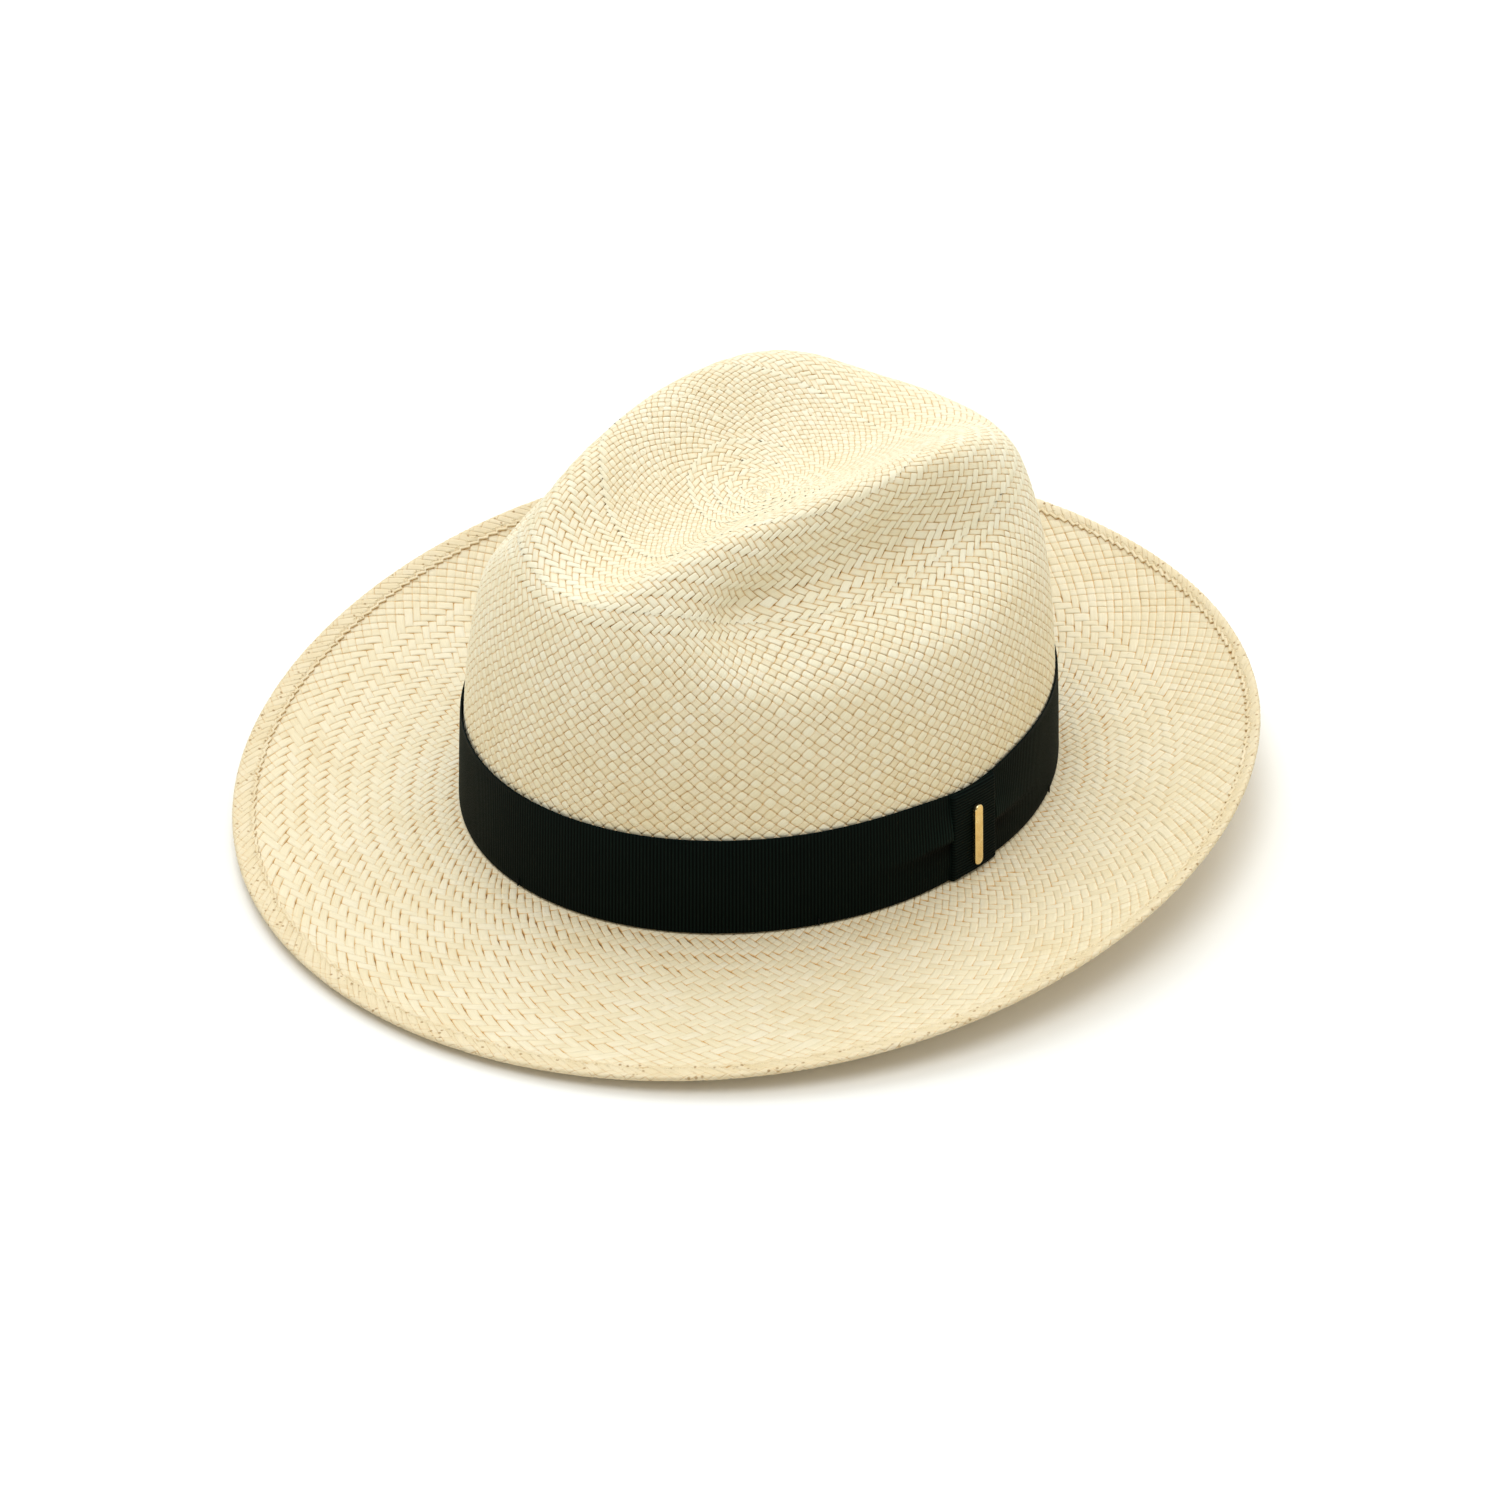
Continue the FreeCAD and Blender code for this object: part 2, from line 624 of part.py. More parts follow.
doc.recompute()
for feature in doc.Objects:
    if "Invalid" in feature.State or "Error" in feature.State:
        raise RuntimeError(f"{feature.Name} did not build: {feature.State}")

for label in NODES:
    feature = doc.getObjectsByLabel(label)[0]
    shape = feature.Shape
    if shape.isNull() or not shape.isValid() or not shape.Solids:
        raise RuntimeError(f"{label} has no valid solid")
    box = shape.BoundBox
    print(f"{label}: {len(shape.Solids)} solid, {shape.Volume / 1000:.2f} cm3, "
          f"x {box.XMin:.1f}..{box.XMax:.1f} y {box.YMin:.1f}..{box.YMax:.1f} "
          f"z {box.ZMin:.1f}..{box.ZMax:.1f}")
    shape.exportStep(f"parts/{label}.step")
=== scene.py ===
"""Looks of a woven straw hat: the weave strand by strand, the hem, the ribbon and the sweatband.

Lengths are in millimetres in the hat's own frame, with the origin at the middle of the crown's
foot, until mesh_of() moves them into the row frame in metres. The front is -Y, and angles run
from the front towards the wearer's left, +X.
"""

import math

import bpy
import numpy as np
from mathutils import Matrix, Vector

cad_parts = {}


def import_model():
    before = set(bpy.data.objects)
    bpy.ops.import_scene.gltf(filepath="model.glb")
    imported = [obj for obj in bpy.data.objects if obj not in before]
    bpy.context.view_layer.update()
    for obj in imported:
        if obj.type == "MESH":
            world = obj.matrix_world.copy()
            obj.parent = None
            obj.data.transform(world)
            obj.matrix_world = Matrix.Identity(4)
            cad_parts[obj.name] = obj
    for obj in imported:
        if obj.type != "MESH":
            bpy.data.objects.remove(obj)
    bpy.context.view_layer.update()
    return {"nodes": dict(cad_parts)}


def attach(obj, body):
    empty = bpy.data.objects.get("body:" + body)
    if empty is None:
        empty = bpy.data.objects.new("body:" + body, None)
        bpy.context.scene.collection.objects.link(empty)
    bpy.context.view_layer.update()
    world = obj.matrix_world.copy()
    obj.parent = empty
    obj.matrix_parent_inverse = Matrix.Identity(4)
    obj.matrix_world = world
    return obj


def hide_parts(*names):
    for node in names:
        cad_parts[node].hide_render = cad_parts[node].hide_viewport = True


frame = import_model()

MM = 0.001
FULL = 2 * math.pi
STAND = np.array([0.0, 5.6, 3.67])  # where the middle of the crown's foot lies in the row frame

# ---- form of the crown and brim

# The block under the uncreased crown, a superellipse that leans in and rises towards the back.
HALF_WIDTH, HALF_LENGTH, HEIGHT = 87.6, 100.8, 125.7
FULLNESS_SIDE, FULLNESS_FRONT, FULLNESS_BACK = 3.21, 3.77, 3.79
LEAN, TILT, STATION = 0.00058, 0.00079, 80.0
# The long dent in each side and the sharper pinch in front of it.
DENT_DEPTH, DENT_HEIGHT, DENT_ABOVE, DENT_BELOW = 23.9, 93.2, 20.5, 10.6
DENT_FRONT, DENT_BACK, DENT_EASE = -46.6, 35.7, 80.0
PINCH_DEPTH, PINCH_ALONG, PINCH_HEIGHT, PINCH_LONG, PINCH_TALL = 10.3, -47.7, 88.5, 14.8, 11.1
# The crease along the top: its half width, floor and walls, and how softly its rim is rounded.
CREASE_HALF_WIDTH, CREASE_NARROWING, CREASE_LEAST = 45.4, 20.4, 8.0
CREASE_FLOOR, CREASE_SLOPE, CREASE_ROUND, WALL_POWER = 95.1, 4.1, 8.0, 1.57
RIM_BACK, RIM_SHARPENING = 15.2, 10.6
# The brim's outline, an oval whose middle lies ahead of the crown's.
BRIM_HALF_WIDTH, BRIM_HALF_LENGTH, BRIM_AHEAD = 154.3, 167.0, 5.9
STRAW, EDGE_STRAW, HEM_RISE, HEM_TEETH = 1.6, 1.1, 0.6, 256
BAND_LOW, BAND_HIGH, BAND_MIDDLE = 0.5, 32.2, 16.0
KNOT_ANGLE, KNOT_WIDTH = math.radians(92), 20.0


def soft_step(value):
    value = np.clip(value, 0, 1)
    return value ** 3 * (value * (6 * value - 15) + 10)


def unit(vectors):
    return vectors / np.maximum(np.linalg.norm(vectors, axis=-1, keepdims=True), 1e-9)


def arc_of(line):
    """The length along a line of points up to each of them."""
    return np.append(0, np.cumsum(np.linalg.norm(np.diff(line, axis=0), axis=1)))


def soft_min(first, second, blend):
    share = np.clip(0.5 + 0.5 * (second - first) / blend, 0, 1)
    return second * (1 - share) + first * share - blend * share * (1 - share)


def soft_floor(value, least, blend=4.0):
    return least + blend * np.logaddexp(0, (value - least) / blend)


def block_point(angle, lift):
    """The uncreased crown, as the wooden block gives it."""
    ahead = np.cos(angle)
    end = np.where(ahead > 0, FULLNESS_FRONT, FULLNESS_BACK)
    power = FULLNESS_SIDE + (end - FULLNESS_SIDE) * ahead ** 2
    reach = np.sin(lift) ** (2 / power)
    height = HEIGHT * np.maximum(np.cos(lift), 0) ** (2 / power)
    reach = reach * (1 - LEAN * height)
    along = -HALF_LENGTH * ahead * reach
    return HALF_WIDTH * np.sin(angle) * reach, along, height * (1 + TILT * along)


def dent(across, along, height):
    """How far the hand has pushed the sides in."""
    above = height - DENT_HEIGHT
    spread = np.where(above > 0, DENT_ABOVE, DENT_BELOW)
    start = soft_step((along - DENT_FRONT) / DENT_EASE + 0.5)
    end = soft_step((DENT_BACK - along) / DENT_EASE + 0.5)
    long_dent = DENT_DEPTH * np.exp(-(above / spread) ** 2) * start * end
    from_pinch = ((along - PINCH_ALONG) / PINCH_LONG) ** 2
    pinch = PINCH_DEPTH * np.exp(-from_pinch - ((height - PINCH_HEIGHT) / PINCH_TALL) ** 2)
    return (long_dent + pinch) * np.tanh(across / 12)


def groove(across, along):
    """Height of the crease along the top, and how softly it turns into the crown."""
    share = along / STATION
    half_width = soft_floor(CREASE_HALF_WIDTH - CREASE_NARROWING * share ** 2, CREASE_LEAST)
    inside = (half_width / HALF_WIDTH) ** 2 + (along / HALF_LENGTH) ** 2
    power = FULLNESS_SIDE
    ridge = HEIGHT * (1 - np.minimum(inside, 0.98) ** (power / 2)) ** (1 / power)
    floor = CREASE_FLOOR + CREASE_SLOPE * share + share ** 2
    soft = CREASE_ROUND ** 2
    wall = ((across ** 2 + soft) / (half_width ** 2 + soft)) ** (WALL_POWER / 2)
    blend = RIM_BACK - RIM_SHARPENING * soft_step((-share - 0.2) / 0.8)
    return floor + soft_floor(ridge - floor, 3.0) * wall, blend


def crown_point(angle, lift):
    across, along, height = block_point(angle, lift)
    crease, blend = groove(across, along)
    pushed = across - dent(across, along, height)
    return np.stack([pushed, along, soft_min(height, crease, blend)], -1)


CROWN_ANGLES, CROWN_STEPS, CROWN_LIFTS = 900, 900, 700


def crown_table():
    """Points of the crown on even angles and on even steps of arc from its foot to its middle."""
    angles = np.linspace(0, FULL, CROWN_ANGLES, endpoint=False)
    lifts = math.pi / 2 * (0.5 + 0.5 * np.cos(np.linspace(0, math.pi, CROWN_LIFTS)))
    points = crown_point(angles[:, None], lifts[None, :])
    steps = np.linalg.norm(np.diff(points, axis=1), axis=2)
    arcs = np.concatenate([np.zeros((CROWN_ANGLES, 1)), np.cumsum(steps, axis=1)], axis=1)
    even = np.linspace(0, 1, CROWN_STEPS + 1)
    table = np.empty((CROWN_ANGLES, CROWN_STEPS + 1, 3))
    for number in range(CROWN_ANGLES):
        arc = arcs[number] / arcs[number, -1]
        for axis in range(3):
            table[number, :, axis] = np.interp(even, arc, points[number, :, axis])
    return table


CROWN = crown_table()
CROWN_ARC = 184.0  # about the mean length from the crown's foot to its middle


def crown_at(turn, share):
    """The crown's surface at a share of a turn round it and a share of its arc from the foot."""
    column = np.mod(turn, 1) * CROWN_ANGLES
    left = np.floor(column).astype(int)
    aside = (column - left)[..., None]
    row = np.clip(np.floor(share * CROWN_STEPS), 0, CROWN_STEPS - 1).astype(int)
    above = (share * CROWN_STEPS - row)[..., None]
    left, right = left % CROWN_ANGLES, (left + 1) % CROWN_ANGLES
    low = CROWN[left, row] * (1 - aside) + CROWN[right, row] * aside
    high = CROWN[left, row + 1] * (1 - aside) + CROWN[right, row + 1] * aside
    return low + (high - low) * above


def brim_foot(angle):
    zero = np.zeros_like(angle)
    return np.stack([HALF_WIDTH * np.sin(angle), -HALF_LENGTH * np.cos(angle), zero], -1)


def brim_width(angle):
    across = (BRIM_HALF_WIDTH - HALF_WIDTH) * np.sin(angle)
    along = (HALF_LENGTH - BRIM_HALF_LENGTH) * np.cos(angle) - BRIM_AHEAD
    return np.hypot(across, along)


def brim_at(angle, distance):
    """The brim's upper side, a distance out from the crown's foot. Its front lies flat, and its
    sides and back turn up."""
    share = (distance / brim_width(angle))[..., None]
    ahead = np.cos(angle)
    edge = np.stack([BRIM_HALF_WIDTH * np.sin(angle), -BRIM_HALF_LENGTH * ahead - BRIM_AHEAD,
                     np.zeros_like(angle)], -1)
    point = brim_foot(angle) * (1 - share) + edge * share
    share = share[..., 0]
    rise = 14.7 - 13.6 * ahead - 2.1 * np.cos(2 * angle)
    rise = rise + 1.6 * np.cos(3 * angle) - 1.9 * np.sin(angle)
    sag = 2.2 * (0.75 + 0.25 * ahead) * 4 * share * (1 - share)
    point[..., 2] = rise * np.maximum(share, 0) ** 1.7 - np.where(share > 0, sag, 0)
    return point


def hem_width(angle):
    """The fold is widest in front and narrowest behind."""
    return 5.1 + 1.7 * np.cos(angle) - 0.4 * np.sin(angle)


def hem_tooth(angle):
    """0 to 1 along each tooth of the hem's inner edge, which steps back at the tooth's end."""
    tooth = np.mod(angle * HEM_TEETH / FULL, 1)
    return np.where(tooth < 0.8, tooth / 0.8, (1 - tooth) / 0.2)


def near_edge(angle, out, height):
    """A point over the brim, a distance out from the hem's mean inner edge."""
    step, radius = 0.5, 160
    start = brim_width(angle) - hem_width(angle) + out
    flat = brim_at(angle, start)
    aside = brim_at(angle + step / radius, start) - flat
    outwards = brim_at(angle, start + step) - flat
    return flat + unit(np.cross(outwards, aside)) * height[..., None]


def hem_at(angle, path):
    """The folded hem's skin, from its inner edge on top round the brim's edge to below. The inner
    edge goes down under the teeth of hem_edge()."""
    half = (HEM_RISE + EDGE_STRAW) / 2
    top, bend = hem_width(angle) - half, math.pi * half
    around = np.clip((path - top) / half, 0, math.pi)
    out = np.where(path < top, path, top + half * np.sin(around))
    out = np.where(path > top + bend, top - (path - top - bend), out)
    from_edge = path + 0.2 - 0.9 * hem_tooth(angle)
    rise = HEM_RISE * soft_step(from_edge / 0.3)
    rise = rise - 0.5 * (1 - soft_step((from_edge + 0.1) / 0.25))
    height = np.where(path < top, rise, HEM_RISE - half + half * np.cos(around))
    below = soft_step((path - top - bend) / 5.0)
    height = height - (STRAW - EDGE_STRAW) * below
    return near_edge(angle, out, height)


# ---- meshes

def new_object(name, data):
    made = bpy.data.objects.new(name, data)
    bpy.context.scene.collection.objects.link(made)
    return made


def mesh_of(name, points, faces, material, replaced):
    """A piece made of points in millimetres in the hat's frame, for the nodes it replaces."""
    mesh = bpy.data.meshes.new(name)
    size = faces.shape[1]
    mesh.vertices.add(len(points))
    mesh.vertices.foreach_set("co", ((points + STAND) * MM).astype(np.float32).ravel())
    mesh.loops.add(faces.size)
    mesh.loops.foreach_set("vertex_index", faces.astype(np.int32).ravel())
    mesh.polygons.add(len(faces))
    mesh.polygons.foreach_set("loop_start", np.arange(len(faces), dtype=np.int32) * size)
    mesh.polygons.foreach_set("use_smooth", np.full(len(faces), True))
    mesh.update(calc_edges=True)
    mesh.materials.append(material)
    piece = new_object(name, mesh)
    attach(piece, "root")
    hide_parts(*replaced)
    return piece


def store_values(piece, name, values, domain="POINT"):
    layer = piece.data.attributes.new(name, "FLOAT", domain)
    layer.data.foreach_set("value", np.asarray(values, np.float32).ravel())


def corner_values(piece, name, values):
    layer = piece.data.uv_layers.new(name=name)
    layer.data.foreach_set("uv", np.asarray(values, np.float32).ravel())


def normals_of(place, turn, row):
    """Unit normals of a surface given by place(turn, row)."""
    small_turn, small_row = 4e-4, 0.12
    aside = place(turn + small_turn, row) - place(turn - small_turn, row)
    onward = place(turn, row + small_row) - place(turn, row - small_row)
    return unit(np.cross(aside, onward))


# ---- the weave

# Lines of the mesh across one strand. The first is the gap, and EDGE lies next to it.
EDGE = 0.458
FINE = np.array([-0.5, -EDGE, -0.26, 0.26, EDGE])
COARSE = np.array([-0.5, -0.3, 0.3])
ROUND_EDGE = 0.455
SLIT_DEPTH, SLIT_ROWS, WIDEST_GAPE = 0.75, 0.55, 0.16
NOISE_ROWS = 3


def smooth_noise(rng, count, rows):
    """One random value per strand and per few rows, to be read with straight lines between."""
    steady = rng.normal(0, 0.75, (count, 1))
    return (steady + rng.normal(0, 0.75, (count, rows // NOISE_ROWS + 4))).clip(-1.9, 1.9)


def read_noise(table, strand, row):
    place = np.clip(row / NOISE_ROWS + 1, 0, table.shape[1] - 1.001)
    low = place.astype(int)
    part = place - low
    strand = strand % len(table)
    return table[strand, low] * (1 - part) + table[strand, low + 1] * part


def strand_height(here, beyond, level, where):
    """Height of a strand along its run, on top or not at this crossing and at the next."""
    ramp = soft_step((np.abs(where) - 0.12) / 0.38)
    return level * (here + (beyond.astype(float) - here) / 2 * ramp)


def reverse(over):
    """The same weave seen from its other side."""
    return lambda first, second: ~over(first, second)


def weave(name, place, strands, rows, over, material, lines=FINE, side=1, base=0.05,
          relief=0.30, levels=(1.0, 1.0), grooves=(0.3, 0.3), openness=(0.9, 0.9), opening=None,
          gape=None, roundness=0.09, bulge=0.0, sway=0.09, pits=None, slits=None, in_twill=None,
          keep=None, seed=1):
    """Two families of strands that slant across each other round the hat.

    Crossing (i, j) is where strand i of the first family meets strand j of the second. It lies at
    (i + j) / 2 of a turn's strands, on row i - j. over(i, j) is true where the first is on top.
    place(turn, row) gives the surface, and a and b run across the two strands from -0.5 to 0.5.

    Depth is 1 on top of a strand. It moves the surface by relief millimetres a unit, and base
    lifts the whole. The straw's material also colours low depth tan and dark, partly as painted
    shade in the gaps and holes. Pairs of values are for the first and the second family:
    levels, grooves: how high its strands and the shallowest gaps between them are
    openness: how much deeper and wider than that its gaps may be
    The rest are the same for both:
    opening(row), gape(row): how much deeper and wider the gaps are on a row
    roundness, bulge: how far a strand's edges drop, and bow out where it is on top
    sway: how far strands wander from their lines
    pits(row, rng): depth at the corners where gaps meet
    slits, in_twill(i, j): the row in four on which the gaps are open, where that is true
    keep(turn, row): true where faces are made
    """
    rng = np.random.default_rng(seed)
    count = len(lines)
    first_row, last_row = rows
    mine, apart = np.meshgrid(
        np.arange(strands * count),
        np.arange(round(first_row * count), round(last_row * count) + 1),
        indexing="ij",
    )
    theirs = mine - apart
    i, a = mine // count, lines[mine % count]
    j, b = theirs // count, lines[theirs % count]
    strand, aside = (i, j), (a, b)
    families = (0, 1), (1, 0)
    on_top = over(i, j)
    tops = on_top, ~on_top
    beyond = over(i, j + np.where(b < 0, -1, 1)), ~over(i + np.where(a < 0, -1, 1), j)
    runs = [strand_height(tops[own], beyond[own], levels[own], aside[other])
            for own, other in families]
    rounds = [-roundness * (np.abs(where) / ROUND_EDGE) ** 4 for where in aside]
    depth = np.maximum(runs[0] + rounds[0], runs[1] + rounds[1])
    gaps = a <= -0.5, b <= -0.5
    in_gap = gaps[0] | gaps[1]
    in_row = np.clip(i - j - int(first_row) + 1, 0, int(last_row - first_row) + 2)
    chance = rng.random((2, strands, int(last_row - first_row) + 3))
    for own, other in families:
        floor = grooves[own] - openness[own] * chance[own][strand[own] % strands, in_row] ** 2.2
        bridge = (runs[other] / levels[other]) ** 3 * (levels[other] - floor) + floor
        depth = np.where(gaps[own], bridge + rounds[other], depth)
    open_here = np.where(gaps[1], openness[1], openness[0])
    ring = 0.0
    if slits is not None:
        from_slit = ((i + a) - (j + b) - slits + 2) % 4 - 2
        ring = np.exp(-(from_slit / SLIT_ROWS) ** 2) * in_twill(i, j)
        depth = np.where(in_gap & (depth < 0.6), depth - SLIT_DEPTH * ring * open_here, depth)
    if opening is not None:
        depth = np.where(in_gap, depth - opening(i - j) * open_here, depth)
    pit = -0.6 - 0.5 * rng.random(mine.shape) if pits is None else pits(i - j, rng)
    depth = np.where(gaps[0] & gaps[1], pit, depth)

    before = over(i - 1, j), over(i, j - 1)
    noises = [smooth_noise(rng, strands, int(last_row - first_row)) for _ in families]
    from_start = (i + a) - (j + b) - first_row
    moved = []
    for own, other in families:
        me, where = strand[own], aside[own]
        bow = -bulge * (before[own].astype(float) - on_top) * (1 - 4 * aside[other] ** 2)
        shift = np.where(gaps[own], bow, 0)
        if gape is not None:
            widest = np.minimum(gape(i - j) * (0.3 + 1.6 * ring), WIDEST_GAPE)
            past = where > 0
            row = np.clip(in_row + (1 - 2 * own) * past, 0, chance.shape[2] - 1)
            wide = 0.2 + 0.8 * chance[own][(me + past) % strands, row] ** 1.5
            wide = wide * widest * openness[own]
            shift = shift - np.where(np.abs(where) == EDGE, np.sign(where) * wide, 0)
        wander = (read_noise(noises[own], me, from_start) * (0.5 - where)
                  + read_noise(noises[own], me + 1, from_start) * (0.5 + where))
        moved.append(me + where + shift + sway * wander)
    alpha, beta = moved
    turn, row = (alpha + beta) / 2 / strands, alpha - beta

    surface = place(turn, row)
    normal = normals_of(place, turn, row) * side
    points = surface + normal * (base + (depth - 1) * relief)[..., None]

    index = np.arange(depth.size).reshape(depth.shape)
    ahead = np.roll(index, -1, axis=0)
    left, below = index[:, 1:-1], index[:, :-2]
    right, above = ahead[:, 1:-1], ahead[:, 2:]
    faces = np.stack([left, below, right, above], -1)

    wide = np.append(lines, 0.5)
    face_i, face_j = i[:, 1:-1], j[:, 1:-1]
    line_a, line_b = (mine % count)[:, 1:-1], (theirs % count)[:, 1:-1]
    a_low, a_high, b_low, b_high = wide[line_a], wide[line_a + 1], wide[line_b], wide[line_b + 1]
    top = on_top[:, 1:-1][..., None]
    corner_a = np.stack([a_low, a_low, a_high, a_high], -1)
    corner_b = np.stack([b_low, b_high, b_high, b_low], -1)
    across = np.where(top, corner_a, corner_b)
    along = np.where(top, face_j[..., None] + corner_b, face_i[..., None] + corner_a)
    strand_id = np.where(top[..., 0], face_i % strands, strands + face_j % strands)
    tones = rng.random(2 * strands)
    float_tones = rng.random((2 * strands, 97))
    float_id = (face_i - face_j) // 2 % 97
    tone = 0.55 * tones[strand_id] + 0.45 * float_tones[strand_id, float_id]

    uv = np.stack([across + 0.5, along + 7.31 * strand_id[..., None]], -1)
    if side < 0:
        faces, uv = faces[..., ::-1], uv[..., ::-1, :]
    faces, uv, tone = faces.reshape(-1, 4), uv.reshape(-1, 4, 2), tone.ravel()
    if keep is not None:
        kept = keep(turn[:, 1:-1], row[:, 1:-1]).ravel()
        faces, uv, tone = faces[kept], uv[kept], tone[kept]
    used = np.unique(faces)
    renumber = np.zeros(index.size, np.int64)
    renumber[used] = np.arange(len(used))
    piece = mesh_of(name, points.reshape(-1, 3)[used], renumber[faces], material,
                    ("straw_body",))
    store_values(piece, "depth", depth.ravel()[used])
    store_values(piece, "tone", tone, "FACE")
    corner_values(piece, "strand", uv)


# ---- materials

class Nodes:
    """The nodes of a material or of the world."""

    def __init__(self, owner):
        owner.use_nodes = True
        self.owner, self.tree = owner, owner.node_tree

    def node(self, kind, *links, **settings):
        """Adds a node. Each link is (input name or number, a socket or a value)."""
        made = self.tree.nodes.new("ShaderNode" + kind)
        for key, value in settings.items():
            setattr(made, key, value)
        for socket, value in links:
            self.put(made, socket, value)
        return made

    def put(self, node, socket, value):
        if isinstance(value, bpy.types.NodeSocket):
            self.tree.links.new(value, node.inputs[socket])
        else:
            node.inputs[socket].default_value = value

    def place(self):
        return self.node("TexCoord").outputs["Object"]

    def map(self, name):
        return self.node("UVMap", uv_map=name).outputs["UV"]

    def attribute(self, name):
        return self.node("Attribute", attribute_name=name).outputs["Fac"]

    def math(self, operation, first, second=0.0, third=0.0):
        links = ((0, first), (1, second), (2, third))
        return self.node("Math", *links, operation=operation).outputs[0]

    def times(self, first, second):
        return self.math("MULTIPLY", first, second)

    def span(self, value, low, high, to_low=0.0, to_high=1.0):
        links = (("Value", value), ("From Min", low), ("From Max", high),
                 ("To Min", to_low), ("To Max", to_high))
        return self.node("MapRange", *links).outputs["Result"]

    def noise(self, vector, scale, detail=3.0, roughness=0.5):
        links = (("Vector", vector), ("Scale", scale), ("Detail", detail),
                 ("Roughness", roughness))
        return self.node("TexNoise", *links).outputs["Fac"]

    def wave(self, vector, scale, distortion, direction, detail=2.0):
        links = (("Vector", vector), ("Scale", scale), ("Distortion", distortion),
                 ("Detail", detail))
        return self.node("TexWave", *links, bands_direction=direction).outputs["Fac"]

    def scaled(self, vector, scale):
        return self.node("Mapping", ("Vector", vector), ("Scale", scale)).outputs["Vector"]

    def mix(self, share, first, second, blend="MIX"):
        made = self.node("Mix", data_type="RGBA", blend_type=blend)
        self.put(made, 0, share)
        self.put(made, 6, first)
        self.put(made, 7, second)
        return made.outputs[2]

    def shade(self, color, value):
        grey = self.node("CombineColor", (0, value), (1, value), (2, value)).outputs[0]
        return self.mix(1.0, color, grey, "MULTIPLY")

    def ramp(self, value, *stops):
        made = self.node("ValToRGB", ("Fac", value))
        elements = made.color_ramp.elements
        while len(elements) < len(stops):
            elements.new(0.5)
        for element, (position, color) in zip(elements, stops):
            element.position = position
            element.color = (*color, 1)
        return made.outputs["Color"]

    def bump(self, height, strength, distance, normal=None):
        made = self.node("Bump", ("Height", height), ("Strength", strength),
                         ("Distance", distance))
        if normal is not None:
            self.put(made, "Normal", normal)
        return made.outputs["Normal"]

    def finish(self, **sockets):
        """Sets the shader's sockets, the uniform ones to plain values."""
        for name, value in sockets.items():
            self.put(self.tree.nodes["Principled BSDF"], name.replace("_", " "), value)
        return self.owner


def new_shader(name):
    return Nodes(bpy.data.materials.new(name))


def straw_material(name, tint=0.0, dots=False):
    """tone is a strand's own, depth runs from below 0 in the holes to 1 on top of a strand. Low
    depth is coloured tan in the gaps, partly the straw's own darker edges and partly painted
    shade, and dark brown in the holes as painted shade.
    """
    shader = new_shader(name)
    place, strand = shader.place(), shader.map("strand")
    tone, depth = shader.attribute("tone"), shader.attribute("depth")
    fibre = shader.noise(shader.scaled(strand, (9.0, 0.55, 1.0)), 1.0, 4.0, 0.65)
    coarse = shader.noise(shader.scaled(strand, (2.2, 0.3, 1.0)), 1.0, 2.0)
    patches = shader.noise(place, 38.0, 2.0)
    mixed = shader.math("MULTIPLY_ADD", coarse, 0.4, shader.times(tone, 0.36))
    mixed = shader.math("ADD", mixed, shader.math("MULTIPLY_ADD", patches, 0.5, -0.13))
    color = shader.ramp(mixed, (0.08, (0.83, 0.71, 0.45)), (0.5, (0.905, 0.822, 0.59)),
                        (0.95, (0.95, 0.895, 0.72)))
    streaks = shader.span(fibre, 0.3, 0.72, 0.91, 1.03)
    color = shader.shade(color, streaks)
    # Tan in the gaps: partly the straw's own darker edges, partly painted shade. Dark brown in
    # the holes: painted shade.
    color = shader.mix(shader.span(depth, -0.1, 0.6), (0.71, 0.42, 0.125, 1), color)
    color = shader.mix(shader.span(depth, -1.15, -0.2), (0.17, 0.082, 0.025, 1), color)
    specks = shader.span(shader.noise(place, 900.0, 1.0), 0.72, 0.80)
    few = shader.span(shader.noise(place, 120.0, 1.0), 0.58, 0.70)
    speck = shader.times(shader.times(specks, few), 0.55)
    color = shader.mix(speck, color, (0.42, 0.25, 0.10, 1))
    if tint:
        color = shader.mix(tint, color, (0.74, 0.52, 0.25, 1), "MULTIPLY")
    if dots:
        spots = shader.node("TexVoronoi", ("Vector", place), ("Scale", 430.0))
        chosen = shader.node("SeparateColor", (0, spots.outputs["Color"])).outputs[0]
        dot = shader.times(shader.span(spots.outputs["Distance"], 0.26, 0.12),
                           shader.span(chosen, 0.32, 0.4))
        color = shader.mix(shader.times(dot, 0.9), color, (0.40, 0.24, 0.09, 1))
    return shader.finish(Base_Color=color, Roughness=shader.span(fibre, 0.3, 0.7, 0.42, 0.6),
                         Normal=shader.bump(fibre, 0.45, 0.00025), Specular_IOR_Level=0.5)


